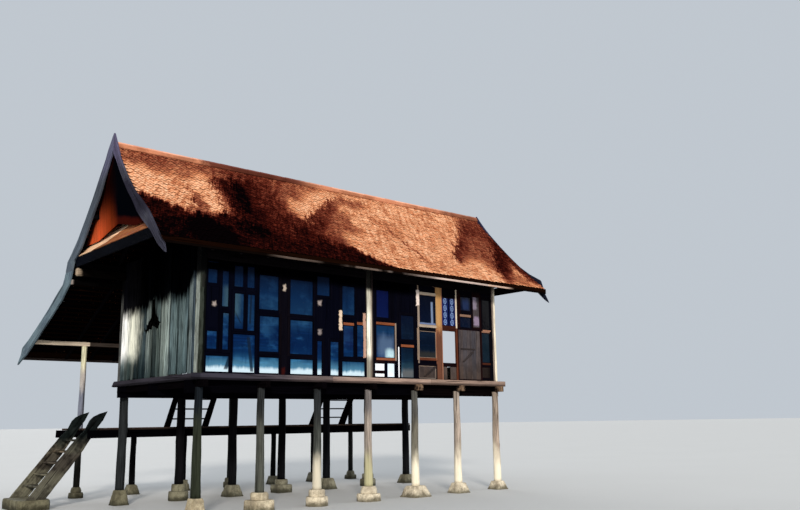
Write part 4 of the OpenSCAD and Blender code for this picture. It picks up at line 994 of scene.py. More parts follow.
def glass_mat():
    m = M("glass_painted_reflection")
    x, y, z = m.sep(m.pos())
    n1 = m.noise(m.vmul(m.pos(), (2.2, 2.2, 1.2)), 1.0, 3.0, 0.5)
    n2 = m.noise(m.vmul(m.pos(), (9.0, 9.0, 2.0)), 1.0, 3.0, 0.6)
    n3 = m.noise(m.vmul(m.pos(), (1.6, 1.6, 17.0)), 1.0, 3.0, 0.6)
    # painted reflection: the panes run from pale blue at the foot to near black at the head
    zz = m.add(z, m.mul(m.sub(n1, 0.5), 0.30))
    up = m.lin(zz, 2.5, 4.7, 0.0, 1.0)
    left = m.ramp(up, [(0.0, srgb(44, 92, 130)), (0.12, srgb(20, 60, 94)), (0.28, srgb(10, 40, 76)), (0.52, srgb(14, 42, 72)), (0.70, srgb(7, 31, 62)), (0.85, srgb(5, 20, 44)), (1.0, srgb(2, 6, 20))])
    # the two columns past the middle post turn indigo at the top
    ind = m.mul(m.smooth(x, 3.95, 4.05), m.smooth(zz, 3.55, 3.85))
    left = m.mix(m.mul(ind, 0.85), left, srgb(4, 10, 54))
    far = m.ramp(up, [(0.0, srgb(38, 58, 70)), (0.14, srgb(24, 46, 60)), (0.34, srgb(8, 22, 38)), (0.62, srgb(3, 10, 30)), (1.0, srgb(2, 3, 12))])
    col = m.mix(m.smooth(x, 4.62, 4.90), left, far)
    # painted reflections of soft clouds and a few level streaks of a low sky
    cloud = m.smooth(m.noise(m.vmul(m.pos(), (1.8, 1.8, 2.6)), 1.0, 4.0, 0.6), 0.50, 0.66)
    cloud = m.mul(cloud, m.sub(1.0, m.smooth(x, 3.3, 4.2)))
    col = m.mix(m.mul(cloud, 0.70), col, m.mix(1.0, col, (3.0, 2.3, 1.8, 1), "MULTIPLY"))
    # a darker belt across the lower panes, part of the painted reflection
    belt = m.mul(m.smooth(zz, 2.78, 2.92), m.sub(1.0, m.smooth(zz, 3.32, 3.50)))
    col = m.mix(m.mul(belt, m.sub(0.9, m.mul(cloud, 0.8))), col, m.mix(1.0, col, (0.22, 0.40, 0.58, 1), "MULTIPLY"))
    lines = m.mul(m.smooth(n3, 0.52, 0.60), m.sub(1.0, m.smooth(z, 3.2, 3.9)))
    col = m.mix(m.mul(lines, 0.40), col, m.mix(1.0, col, (2.0, 1.9, 1.9, 1), "MULTIPLY"))
    col = m.mix(m.mul(m.smooth(n2, 0.52, 0.70), 0.55), col, m.mix(1.0, col, (0.42, 0.50, 0.62, 1), "MULTIPLY"))
    # painted light: the bright foot of the lowest row, with a paler band above it
    zf = m.add(z, m.mul(m.sub(n2, 0.5), 0.14))
    foot = m.sub(1.0, m.smooth(zf, 2.580, 2.665))
    foot = m.mul(foot, m.sub(1.0, m.smooth(x, 4.80, 4.84)))
    col = m.mix(m.mul(foot, 0.95), col, srgb(236, 246, 252))
    lowest_glow = m.mul(m.sub(1.0, m.smooth(zf, 2.58, 2.86)), m.sub(1.0, m.smooth(x, 4.80, 4.84)))
    col = m.mix(m.mul(lowest_glow, 0.45), col, srgb(96, 150, 172))
    # dark reflections of trunks and leaning poles
    for a0, a1, b0, b1, wide in ((.97, 1.06, 3.20, 2.55, .035), (1.02, 1.00, 4.10, 3.45, .020), (.62, .80, 3.75, 3.45, .016), (.60, .50, 2.84, 2.58, .040), (4.30, 4.62, 3.10, 3.00, .014)):
        t = m.lin(z, b0, b1, 0.0, 1.0)
        off = m.math("ABSOLUTE", m.sub(x, m.add(a0, m.mul(t, a1 - a0))))
        inside = m.mul(m.smooth(z, min(b0, b1) - .02, min(b0, b1) + .02), m.sub(1.0, m.smooth(z, max(b0, b1) - .02, max(b0, b1) + .02)))
        line = m.mul(m.sub(1.0, m.smooth(off, wide * 0.6, wide * 1.3)), inside)
        col = m.mix(m.mul(line, 0.85), col, srgb(12, 24, 40))
    # painted reflections: pale and dark patches on single panes
    for box, soft, k, tint in (
        ((4.38, 4.60, 2.93, 3.12), .06, .85, srgb(206, 238, 240)),
        ((4.16, 4.62, 2.96, 3.40), .12, .45, srgb(96, 120, 150)),
        ((4.03, 4.34, 2.50, 2.84), .02, .90, srgb(240, 244, 248)),
        ((4.38, 4.62, 2.50, 2.84), .02, .80, srgb(224, 238, 250)),
        ((4.69, 4.77, 2.50, 3.21), .01, .95, srgb(244, 246, 252)),
        ((5.725, 5.785, 3.76, 4.26), .018, .75, srgb(120, 136, 166)),
        ((5.36, 5.86, 3.715, 3.77), .014, .60, srgb(120, 136, 176)),
        ((4.82, 5.16, 2.52, 2.70), .06, .45, srgb(112, 108, 104)),
        ((5.34, 5.85, 2.98, 3.12), .05, .55, srgb(48, 44, 34)),
        ((6.74, 6.96, 4.16, 4.44), .05, .75, srgb(22, 38, 74)),
        ((7.36, 7.68, 3.72, 4.45), .03, .98, srgb(2, 1, 3)),
        ((7.36, 7.64, 2.93, 3.65), .03, .70, srgb(12, 26, 34)),
        ((0.42, 0.78, 3.60, 4.12), .08, .32, srgb(76, 106, 112)),
        ((1.40, 1.86, 3.08, 3.44), .10, .55, srgb(2, 20, 52)),
        ((2.98, 3.52, 3.14, 3.52), .10, .55, srgb(14, 24, 60)),
    ):
        rag = m.mul(m.sub(n2, 0.5), soft * 1.6)
        col = m.mix(m.mul(patch(m, x, z, box, soft, rag), k), col, tint)
    dirt = m.smooth(m.noise(m.pos(), 24.0, 4.0, 0.7), 0.60, 0.85)
    col = m.mix(m.mul(dirt, 0.10), col, srgb(150, 160, 164))
    rgh = m.lin(dirt, 0.0, 1.0, 0.08, 0.34)
    bmp = m.bump(m.noise(m.pos(), 5.0, 2.0), 0.25, 0.01)
    return m.shade(col, rgh, bmp, IOR=1.5, Specular_IOR_Level=0.03, Transmission_Weight=0.0)


MAT["glass"] = glass_mat()


def glass_print():
    """The printed pane: rings of petals on blue, a plain generic pattern."""
    m = M("glass_printed")
    x, y, z = m.sep(m.pos())
    cx, cz = 0.2200, 0.1645
    gx = m.mul(m.sub(m.math("FRACT", m.math("DIVIDE", m.sub(x, 6.060), cx)), 0.5), 1.9)
    gz = m.sub(m.math("FRACT", m.math("DIVIDE", m.sub(z, 3.742), cz)), 0.5)
    rr = m.math("SQRT", m.add(m.mul(gx, gx), m.mul(gz, gz)))
    an = m.math("ARCTAN2", gz, gx)
    petal = m.add(rr, m.mul(m.math("SINE", m.mul(an, 6.0)), 0.045))
    ring = m.sub(1.0, m.smooth(m.math("ABSOLUTE", m.sub(petal, 0.36)), 0.05, 0.10))
    core = m.sub(1.0, m.smooth(rr, 0.10, 0.17))
    n = m.noise(m.pos(), 26.0, 3.0)
    mark = m.math("MAXIMUM", ring, core)
    mark = m.mul(mark, m.lin(n, 0.3, 0.6, 0.55, 1.0))
    base = m.mix(m.noise(m.pos(), 4.0, 3.0), srgb(4, 14, 54), srgb(8, 26, 84))
    col = m.mix(m.mul(mark, 0.80), base, srgb(132, 158, 204))
    return m.shade(col, m.lin(mark, 0, 1, 0.12, 0.35), m.bump(mark, 0.25, 0.002), Specular_IOR_Level=0.05)


MAT["glass_print"] = glass_print()


# --------------------------------------------------------------------------
# camera, light and stage
# --------------------------------------------------------------------------
YAW, PITCH, ROLL = math.radians(41.118), math.radians(11.31), math.radians(-0.822)
fw = np.array([math.sin(YAW) * math.cos(PITCH), math.cos(YAW) * math.cos(PITCH), math.sin(PITCH)])
right0 = np.array([math.cos(YAW), -math.sin(YAW), 0.0])
up0 = np.cross(right0, fw)
cr = math.cos(ROLL) * right0 + math.sin(ROLL) * up0
cu = -math.sin(ROLL) * right0 + math.cos(ROLL) * up0
cam_data = bpy.data.cameras.new("camera")
cam = bpy.data.objects.new("camera", cam_data)
bpy.context.scene.collection.objects.link(cam)
cam.matrix_world = Matrix(((cr[0], cu[0], -fw[0], -10.769), (cr[1], cu[1], -fw[1], -16.677), (cr[2], cu[2], -fw[2], 1.600), (0, 0, 0, 1)))
cam_data.sensor_fit = "HORIZONTAL"
cam_data.sensor_width = 36.0
cam_data.lens = 829.65 / 800 * 36.0
cam_data.clip_start, cam_data.clip_end = 0.1, 500
bpy.context.scene.camera = cam

bpy.context.scene.view_settings.view_transform = "Standard"
bpy.context.scene.view_settings.look = "None"

world = bpy.data.worlds.new("studio")
bpy.context.scene.world = world
world.use_nodes = True
bg = world.node_tree.nodes["Background"]
bg.inputs[0].default_value = (0.80, 0.87, 0.95, 1)
bg.inputs[1].default_value = 0.66


def soft(name, at, to, spread, strength, color=(1, 1, 1)):
    """A wide, even light; spread is how large it looks from the house, in degrees."""
    d = bpy.data.lights.new(name, "SUN")
    d.angle = math.radians(spread)
    d.energy = strength
    d.color = color
    o = bpy.data.objects.new(name, d)
    bpy.context.scene.collection.objects.link(o)
    o.location = at
    o.rotation_mode = "QUATERNION"
    o.rotation_quaternion = (Vector(to) - Vector(at)).to_track_quat("-Z", "Y")
    return o


soft("key", (-14.9, -22.7, 12.3), (-0.6, -2.9, 3.5), 8.5, 3.40, (1.0, 0.94, 0.86))
soft("fill_left", (-17.5, -7.5, 4.4), (-4.7, -1.3, 4.9), 22.0, 0.80, (1.0, 0.96, 0.90))
soft("fill_right", (16, -8, 9), (1, 0, 3), 40.0, 0.85, (0.92, 0.96, 1.0))
soft("fill_back", (4, 17, 10), (0, 1, 3), 40.0, 1.25, (0.96, 0.98, 1.0))

fm = M("stage_floor")
fn = fm.noise(fm.pos(), 0.35, 3.0)
fm.shade(fm.mix(fn, (0.50, 0.50, 0.49, 1), (0.53, 0.53, 0.52, 1)), 0.9)
me = bpy.data.meshes.new("stage_floor")
rim = [(900 * math.cos(2 * math.pi * k / 96), 900 * math.sin(2 * math.pi * k / 96), 0) for k in range(96)]
me.from_pydata(rim, [], [tuple(range(96))])
me.materials.append(fm.m)
stage = bpy.data.objects.new("stage_floor", me)
bpy.context.scene.collection.objects.link(stage)


# --------------------------------------------------------------------------
# bases and posts
# --------------------------------------------------------------------------
BASE = [
    (0.0, [(3, .340, .320), (0, .440, .340), (1, .440, .310), (2, .440, .300), (3, .540, .230), (3, .410, .220), (3, .380, .190)]),
    (BODY_D, [(3, .330, .300), (1, .420, .340), (3, .400, .250), (0, .400, .300), (3, .440, .260), (1, .400, .300), (3, .380, .220)]),
    (VER_Y, [(2, .300, .240), (3, .320, .220), (3, .320, .260), (1, .320, .240), (3, .300, .220), (3, .320, .250), (2, .300, .230)]),
]

STRING_HALF = 0.140 / math.sin(math.atan(1.28))
FOOT_X = -0.370 - STRING_HALF - PLAT / 1.28
STEP_X0, STEP_X1 = FOOT_X - STRING_HALF + 0.0005, FOOT_X + 0.4595

b = Build()
seed = 40
for y, row in BASE:
    for i, (kind, w, h) in enumerate(row):
        seed += 13
        c = (i * BAY, y, 0)
        half = w / 2
        if kind == 3:
            lv = [(0, half), (0.02, half)] + [(h * k, half * (1 - 0.38 * k)) for k in (.12, .25, .4, .55, .7, .82, .92)] + [(h * 0.985, half * 0.60), (h, half * 0.53)]
            loft(b, lv, c, seed, 0.007, power=7.0, chips=0.03)
        if kind == 0:
            loft(b, [(0, half), (.02, half), (h * .15, half), (h * .3, half), (h * .45, half * .995), (h * .55, half * .98), (h * .6, half * .93)], c, seed, 0.006, power=9.0, chips=0.03)
            loft(b, [(h * .59, half * .70), (h * .62, half * .76), (h * .72, half * .77), (h * .85, half * .765), (h * .95, half * .74), (h, half * .68)], c, seed + 1, 0.005, chips=0.015, z_floor=h * .58)
        if kind == 1:
            loft(b, [(0, half * .98), (.02, half), (h * .15, half), (h * .35, half), (h * .48, half * .99), (h * .55, half * .97), (h * .58, half * .92)], c, seed, 0.006, chips=0.025)
            loft(b, [(h * .57, half * .68), (h * .60, half * .74), (h * .72, half * .75), (h * .88, half * .74), (h * .96, half * .72), (h, half * .66)], c, seed + 1, 0.005, chips=0.015, z_floor=h * .56)
        if kind == 2:
            loft(b, [(0, half), (.02, half), (h * .15, half), (h * .3, half), (h * .42, half * .98), (h * .5, half * .92)], c, seed, 0.008, chips=0.03, power=3.2)
            loft(b, [(h * .49, half * .70), (h * .54, half * .77), (h * .65, half * .78), (h * .78, half * .74), (h * .9, half * .68), (h * .97, half * .62), (h, half * .52)], c, seed + 1, 0.007, chips=0.012, z_floor=h * .48)
# the flat stone under the foot of the entry stair
c = ((STEP_X0 + STEP_X1) / 2, 3.9505, 0)
half = (STEP_X1 - STEP_X0) / 2
loft(b, [(0, half * .99), (.02, half), (.06, half), (.10, half * 1.0), (.14, half * .995), (.175, half * .985), (.192, half * .965), (.199, half * .93), (.1995, half * .6), (.1995, half * .25)], c, 977, 0.010, sides=72, power=9.0, chips=0.05, ax=(1.0, .5525 / half), box=((STEP_X0, 3.398, 0), (STEP_X1, 4.503, .2)))
b.make("bases_cast_and_stone", MAT["stone"], "base_stone", ["post_bases"], smooth=False)

b = Build()
for i, pt in enumerate((.30, .26, .26, .80, .55, .80, .78)):
    h = BASE[0][1][i][2]
    pole(b, (i * BAY, 0, h - 0.004), (i * BAY, 0, 2.252), .090, .0685, pt=pt)
for i, pt in enumerate((.30, .02, .05, .02, .06, .02, .10)):
    h = BASE[1][1][i][2]
    pole(b, (i * BAY, BODY_D, h - 0.004), (i * BAY, BODY_D, 2.252), .0925, .085, pt=pt)
b.make("posts_under_the_house", MAT["post"], "post_wood", ["house_posts"], smooth=True)

b = Build()
for i, pt in enumerate((1.0, .02, .04, .06, .02, .04, .30)):
    h = BASE[2][1][i][2]
    tall = i % 3 == 0
    pole(b, (i * BAY, VER_Y, h - 0.004), (i * BAY, VER_Y, 3.412 if tall else 1.5), .070, .060 if tall else .065, rings=46 if tall else 20, bend=0.004 if tall else 0.006, pt=pt)
b.make("posts_of_the_verandah", MAT["post"], "post_wood", ["verandah_posts"], smooth=True)

# --------------------------------------------------------------------------
# floor frame
# --------------------------------------------------------------------------
b = Build()
for i in range(7):
    lit = (.5, .0, .0, .6, .6, .5, .3)[i]
    bar(b, (i * BAY, -0.250, 2.315), (i * BAY, Y_B, 2.315), .109, .129, n=10, ch=.008, wob=.002, pt=0.1, ends=0.012)
b.make("beams_across", MAT["cross"], "dark_beam", ["cross_beams"])

b = Build()
for i in range(18):
    x = 0.130 + i * 7.540 / 17
    bar(b, (x, -0.058, 2.410), (x, Y_B - .002, 2.410), .058, .059, n=6, ch=.004, wob=.002, pt=rnd(0, .3))
b.make("joists_of_the_floor", MAT["beam"], "dark_beam", ["floor_joists"])

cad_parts["long_beams"].data.materials.clear()
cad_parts["long_beams"].data.materials.append(MAT["beam_cad"])


def run_boards(b, x0, x1, y0, y1, zc, th, width, holes=(), pt=0.3, joints=(2.2, 3.6), end_rag=0.0, step_n=5):
    """Boards laid along X, butted at random, with the rectangles in holes left free."""
    n = max(1, round((y1 - y0) / width))
    w = (y1 - y0) / n
    for k in range(n):
        ya = y0 + k * w
        cuts = [x0]
        while cuts[-1] < x1 - 0.6:
            cuts.append(min(x1, cuts[-1] + rnd(*joints)))
        if x1 - cuts[-1] > 1e-6:
            cuts[-1] = x1
        if cuts[-1] != x1:
            cuts.append(x1)
        for a, c in zip(cuts, cuts[1:]):
            spans = [(a, c)]
            for hx0, hx1, hy0, hy1 in holes:
                if hy0 < ya + w and hy1 > ya:
                    out = []
                    for s, t in spans:
                        if hx1 <= s or hx0 >= t:
                            out.append((s, t))
                        else:
                            if hx0 - s > 0.01:
                                out.append((s, hx0))
                            if t - hx1 > 0.01:
                                out.append((hx1, t))
                    spans = out
            for s, t in spans:
                r0 = end_rag if s == x0 else 0.002
                r1 = end_rag if t == x1 else 0.002
                plank(b, (s, ya + w / 2, zc), (1, 0, 0), t - s, (0, 1, 0), w, (0, 0, 1), th, k=1, n=step_n, cup=rnd(-.001, .0015), bow=.0012, rag0=r0, rag1=r1, pt=pt + rnd(-.2, .2))


holes = [(-.062, .062, -.1, .132), (3.818, 4.012, -.1, .062), (7.738, 7.862, -.1, .132)]
for i in range(7):
    holes.append((i * BAY - .062, i * BAY + .062, Y_B - .122, Y_B))
b = Build()
run_boards(b, -.030, 7.830, -.006, 3.510, 2.455, .028, .150, holes)
b.make("boards_of_the_floor", MAT["floor"], "floor_wood", ["floor_boards"])

b = Build()
# front sill in three lengths, its ends run past the corners
for x0, x1 in ((-.200, 2.905), (2.908, 5.612), (5.615, 8.070)):
    bar(b, (x0, -.090, 2.440), (x1, -.090, 2.440), .058, .119, n=10, ch=.006, wob=.0016, ends=0.006)
bar(b, (-.058, 3.560, 2.440), (7.858, 3.560, 2.440), .039, .119, n=10, ch=.005, wob=.0015)
for x in (-.085, 7.885):
    bar(b, (x, -.057, 2.440), (x, 3.602, 2.440), .048, .119, n=8, ch=.006, wob=.0015)
    prism(b, [(3.600, 2.381), (3.708, 2.394), (3.600, 2.499)], "x", x - .024, x + .024, udir=(1, 0))
b.make("sills_on_the_edge", MAT["sill"], "sill_wood", ["sill_boards"])

# --------------------------------------------------------------------------
# verandah floor
# --------------------------------------------------------------------------
b = Build()
bar(b, (-.680, 3.390, 1.420), (8.060, 3.390, 1.420), .059, .159, n=14, ch=.008, wob=.003, pt=.05, ends=0.01)
bar(b, (-.560, 5.563, 1.420), (8.060, 5.563, 1.420), .089, .159, n=14, ch=.008, wob=.003, pt=.05, ends=0.01)
b.make("beams_of_the_verandah", MAT["beam"], "dark_beam", ["verandah_beams"])

b = Build()
for i in range(13):
    x = -.250 + i * 8.200 / 12
    bar(b, (x, 3.420, 1.450), (x, 5.518, 1.450), .059, .099, n=6, ch=.005, wob=.002, pt=rnd(0, .25))
b.make("joists_of_the_verandah", MAT["beam"], "dark_beam", ["verandah_joists"])

b = Build()
run_boards(b, -.370, 8.050, 3.362, 5.763, 1.520, .038, .145, [(i * BAY - .075, i * BAY + .075, VER_Y - .075, VER_Y + .075) for i in (0, 3, 6)], pt=.15, end_rag=0.02)
b.make("boards_of_the_verandah", MAT["floor"], "floor_wood", ["verandah_floor"])

# --------------------------------------------------------------------------
# stairs
# --------------------------------------------------------------------------
def stair_tone(m, x, y, z, col):
    top = m.smooth(m.add(z, m.mul(m.sub(m.noise(m.pos(), 3.0, 3.0), 0.5), 0.5)), 0.95, 1.40)
    blot = m.smooth(m.noise(m.pos(), 6.0, 4.0, 0.6), 0.44, 0.62)
    col = m.mix(1.0, col, (0.50, 0.53, 0.44, 1), "MULTIPLY")
    col = m.mix(m.mul(blot, 0.75), col, m.mix(1.0, col, (0.30, 0.28, 0.30, 1), "MULTIPLY"))
    # the middle of the stair is dark and purple, with a bare patch above it
    mid = m.mul(m.smooth(z, 0.62, 0.80), m.sub(1.0, m.smooth(z, 1.00, 1.12)))
    col = m.mix(m.mul(mid, 0.7), col, m.mix(1.0, col, (0.34, 0.28, 0.34, 1), "MULTIPLY"))
    bare = m.mul(m.smooth(z, 1.00, 1.08), m.smooth(m.noise(m.pos(), 3.4, 3.0), 0.46, 0.58))
    col = m.mix(m.mul(bare, 0.8), col, m.mix(1.0, col, (1.9, 1.7, 1.7, 1), "MULTIPLY"))
    return m.mix(top, col, m.mix(1.0, col, (0.055, 0.085, 0.115, 1), "MULTIPLY"))


MAT["stair"] = wood("stair_weathered", stops((0.0, srgb(122, 112, 104)), (0.5, srgb(150, 140, 130)), (1.0, srgb(176, 166, 150))), fibre=0.55, crack=0.9, tone=stair_tone, vary=0.15, bump=0.006, fine=44.0, gloss=0.02)

entry = [
    (FOOT_X - STRING_HALF + .2 / 1.28, .2), (FOOT_X + STRING_HALF + .2 / 1.28, .2), (-.810, .990), (-.560, 1.380), (-.465, 1.550), (-.355, 1.700),
    (-.270, 1.880), (-.425, 1.835), (-.550, 1.775), (-.625, 1.700), (-.715, 1.510), (-.850, 1.380),
]
b = Build()
for y in (3.428, 4.428):
    prism(b, entry, "y", y, y + .045, ch=.006, udir=(1, 1.28), step=.14, rough=.004, pt=rnd(.2, .7), z_low=.2)
b.make("stair_planks_entry", MAT["stair"], "dark_beam", ["entry_stair_planks"])

b = Build()
for i in range(2, 7):
    z = i * PLAT / 7
    x = FOOT_X + z / 1.28
    plank(b, (x + .005, 3.474, z - .0175), (0, 1, 0), .953, (1, 0, 0), .226, (0, 0, 1), .034, k=5, n=6, cup=-.002, bow=.003, ch=.006, pt=rnd(.2, .8))
b.make("stair_treads_entry", MAT["stair"], "dark_beam", ["entry_stair_treads"])


def inner_y(z):
    return 3.900 - (z - PLAT) * 0.6


b = Build()
for x in (1.270, 5.200):
    for xx, top in ((x, 2.250), (x + .935, 2.440)):
        prism(b, [(3.780, PLAT), (4.050, PLAT), (inner_y(top) + .105, top), (inner_y(top) - .105, top)], "x", xx, xx + .035, ch=.005, udir=(-.6, 1), step=.15, rough=.003, pt=.05)
b.make("stair_planks_inner", MAT["beam"], "post_wood", ["inner_stair_planks"])

b = Build()
for x in (1.270, 5.200):
    for i in (1, 2, 3):
        z = PLAT + i * .215 - .025
        plank(b, (x + .036, inner_y(z), z - .015), (1, 0, 0), .898, (0, 1, 0), .168, (0, 0, 1), .029, k=4, n=5, cup=-.002, bow=.002, ch=.005, pt=.15)
b.make("stair_treads_inner", MAT["beam"], "post_wood", ["inner_stair_treads"])


# --------------------------------------------------------------------------
# wall posts
# --------------------------------------------------------------------------
def stand_tone(m, x, y, z, col):
    n = m.noise(m.pos(), 3.0, 4.0)
    zz = m.add(z, m.mul(m.sub(n, 0.5), 0.5))
    # the corner post is shaded high up, the middle post low down and high up
    c1 = m.mul(m.sub(1.0, m.smooth(x, .4, .5)), m.smooth(zz, 4.15, 4.65))
    mid = m.mul(m.smooth(x, 3.0, 3.1), m.sub(1.0, m.smooth(x, 4.6, 4.7)))
    c2 = m.mul(mid, m.math("MAXIMUM", m.mul(m.sub(1.0, m.smooth(zz, 2.80, 3.05)), 1.0), m.mul(m.smooth(zz, 3.62, 4.10), 0.55)))
    c3 = m.mul(m.smooth(x, 7.0, 7.1), m.smooth(zz, 4.55, 4.8))
    k = m.math("MAXIMUM", m.math("MAXIMUM", c1, c2), c3)
    col = darker(m, col, m.mul(k, 0.9), (0.22, 0.20, 0.19, 1))
    first = m.sub(1.0, m.smooth(x, .4, .5))
    blot = m.smooth(m.noise(m.vmul(m.pos(), (9.0, 9.0, 2.4)), 1.0, 3.0, 0.6), 0.42, 0.60)
    col = m.mix(first, col, m.mix(1.0, col, m.mix(blot, (0.34, 0.43, 0.50, 1), (0.17, 0.21, 0.24, 1)), "MULTIPLY"))
    face = m.mul(first, m.smooth(m.math("MULTIPLY", y, -1.0), 0.020, 0.045))
    col = m.mix(m.mul(face, 0.95), col, m.mix(blot, srgb(36, 41, 34), srgb(18, 22, 16)))
    # the right half of the corner post is black with a green cast
    dark = m.mul(first, m.smooth(m.add(x, m.mul(m.sub(n, 0.5), 0.06)), .000, .020))
    col = m.mix(m.mul(dark, 0.97), col, srgb(3, 4, 4))
    # painted shade: the corner post goes black at the top
    top = m.mul(first, m.smooth(m.add(z, m.mul(m.sub(n, 0.5), 0.2)), 4.24, 4.40))
    col = m.mix(m.mul(top, 0.98), col, srgb(3, 3, 4))
    spot = patch(m, x, z, (-.045, .02, 4.06, 4.30), .02, m.mul(m.sub(n, 0.5), 0.10))
    col = m.mix(m.mul(spot, 0.85), col, srgb(26, 26, 24))
    # painted shade: the middle post goes black at its crown
    crown = m.mul(mid, m.smooth(m.add(z, m.mul(m.sub(n, 0.5), 0.12)), 4.30, 4.42))
    col = m.mix(m.mul(crown, 0.97), col, srgb(6, 5, 6))
    # the middle post is only pale over its middle third
    side = m.mul(m.smooth(x, 3.0, 3.1), m.sub(1.0, m.smooth(x, 4.6, 4.7)))
    thin = m.math("MAXIMUM", m.smooth(x, 3.962, 3.976), m.mul(m.sub(1.0, m.smooth(x, 3.822, 3.838)), 1.0))
    return m.mix(m.mul(m.mul(side, thin), 0.9), col, srgb(34, 26, 26))


MAT["stand"] = wood("wall_post_pale", stops((0.0, srgb(40, 36, 40)), (0.5, srgb(170, 156, 144)), (1.0, srgb(255, 252, 234))), fibre=0.5, crack=0.9, wear=0.2, vary=0.05, tone=stand_tone, fine=46.0, gloss=0.03)

b = Build()
# corner and end posts, the middle post with a narrower pale half beside it
bar(b, (0, .035, 2.381), (0, .035, PZ), .119, .189, up=(0, 1, 0), n=14, ch=.010, wob=.003, pt=.88)
bar(b, (3.880, 0, 2.381), (3.880, 0, PZ), .119, .119, up=(0, 1, 0), n=14, ch=.009, wob=.003, pt=1.0)
bar(b, (3.976, 0, 2.381), (3.976, 0, PZ), .066, .112, up=(0, 1, 0), n=14, ch=.007, wob=.002, pt=.62)
bar(b, (7.828, .035, 2.381), (7.828, .035, PZ), .063, .189, up=(0, 1, 0), n=14, ch=.008, wob=.002, pt=.84)
bar(b, (7.768, .035, 2.381), (7.768, .035, PZ), .054, .180, up=(0, 1, 0), n=14, ch=.007, wob=.002, pt=.30)
for i in range(7):
    bar(b, (i * BAY, Y_B - .060, 2.381), (i * BAY, Y_B - .060, BACK_PLATE_Z), .119, .119, up=(0, 1, 0), n=10, ch=.008, wob=.002, pt=.45)
b.make("posts_of_the_walls", MAT["stand"], "pale_wood", ["wall_posts"])

# --------------------------------------------------------------------------
# front wall
# --------------------------------------------------------------------------
F0, F1 = -.060, -.010          # front and back of the window frames
HEAD = 4.610
GLASS = [
    (80, 300, 2040, 2070), (80, 290, 1650, 1930), (380, 530, 1230, 1920), (410, 550, 430, 1130),
    (90, 310, 430, 780), (80, 570, 20, 330),
    (630, 840, 1630, 2050), (910, 1090, 1630, 2060), (650, 860, 830, 1520), (930, 1100, 810, 1520),
    (630, 1120, 20, 750),
    (1180, 1630, 1240, 1930), (1200, 1650, 430, 1130), (1210, 1660, 20, 340),
    (1890, 2450, 1200, 1910), (1900, 2450, 410, 1100), (1910, 2460, 20, 330),
    (2540, 2870, 1630, 2040), (2550, 2680, 20, 720), (2880, 3100, 20, 720),
    (3180, 3520, 1280, 1900), (3210, 3490, 410, 1070), (3570, 3760, 420, 1100), (3180, 3780, 20, 330),
    (4100, 4460, 1290, 1900), (4090, 4620, 430, 1140), (4050, 4330, 150, 320), (4050, 4330, 20, 110),
    (4390, 4610, 20, 330), (4700, 4760, 20, 700),
    (4800, 5190, 850, 1400), (4790, 5170, 20, 690),
    (5350, 5880, 1220, 1910), (5330, 5850, 480, 1080),
    (6660, 7030, 1630, 1970), (6640, 7010, 1230, 1490), (7400, 7680, 1220, 1950), (7360, 7640, 430, 1150),
]
BOARDED = [(5310, 5830, 20, 300), (6570, 7310, 20, 1190), (7080, 7310, 1250, 2000), (7340, 7620, 70, 330)]
SHEETS = [(60, 3820), (4010, 6008), (6542, 7740)]


def to_m(light):
    return (light[0] / 1000, light[1] / 1000, FLOOR + light[2] / 1000, FLOOR + light[3] / 1000)


LIGHTS = [to_m(l) for l in GLASS + BOARDED]


def frame_paint(x, z, upright):
    """Which paint the maker used where, from the photo."""
    if x < 1.64:
        return .0
    if x < 1.88:
        return .10
    if x < 3.20:
        return .03
    if x < 3.84:
        return .42 if 3.56 < z < 3.63 and not upright else .02
    if x < 4.66:
        if upright:
            return .66 if 4.62 < x and 2.9 < z < 3.9 else .04
        return .44 if 3.60 < z < 3.70 else .43 if 2.86 < z < 2.93 else .16 if z < 2.86 else .03
    if x < 4.80:
        return .05
    if x < 5.20:
        return .44 if 3.18 < z < 3.25 and not upright else .05
    if x < 5.29:
        return .05
    if x < 5.36:
        return .70 if upright else .2
    if x < 5.86:
        if upright:
            return .06
        return .80 if 4.40 < z < 4.47 else .78 if 3.66 < z < 3.73 else .38 if 2.9 < z < 2.99 else .08
    if x < 6.05:
        return .54
    if x < 6.64:
        return .20
    if x < 7.05:
        return .60 if not upright and 3.98 < z < 4.06 else .08
    if x < 7.09:
        return .16
    if x < 7.36:
        return .18
    return .58 if not upright and 3.63 < z < 3.73 else .30 if not upright and 2.86 < z < 2.94 else .10


def spans_out(z0, z1, cuts):
    """What is left of z0..z1 when the intervals in cuts are taken out."""
    out = [(z0, z1)]
    for a, c in cuts:
        nxt = []
        for s, t in out:
            if c <= s or a >= t:
                nxt.append((s, t))
            else:
                if a - s > 0.004:
                    nxt.append((s, a))
                if t - c > 0.004:
                    nxt.append((c, t))
        out = nxt
    return out


def side_gap(light, sheet, side):
    """Free distance from a light to its neighbour or to the sheet's edge."""
    x0, x1, z0, z1 = light
    if side == "l":
        g = x0 - sheet[0]
    elif side == "r":
        g = sheet[1] - x1
    elif side == "b":
        g = z0 - 2.440
    else:
        g = HEAD - z1
    for o in LIGHTS:
        if o == light:
            continue
        zov = min(z1, o[3]) - max(z0, o[2]) > 0.01
        xov = min(x1, o[1]) - max(x0, o[0]) > 0.01
        if side == "l" and zov and o[1] <= x0 + 1e-6:
            g = min(g, (x0 - o[1]) / 2)
        if side == "r" and zov and o[0] >= x1 - 1e-6:
            g = min(g, (o[0] - x1) / 2)
        if side == "b" and xov and o[3] <= z0 + 1e-6:
            g = min(g, (z0 - o[3]) / 2)
        if side == "t" and xov and o[2] >= z1 - 1e-6:
            g = min(g, (o[2] - z1) / 2)
    return max(0.006, min(0.055, g - 0.0008))


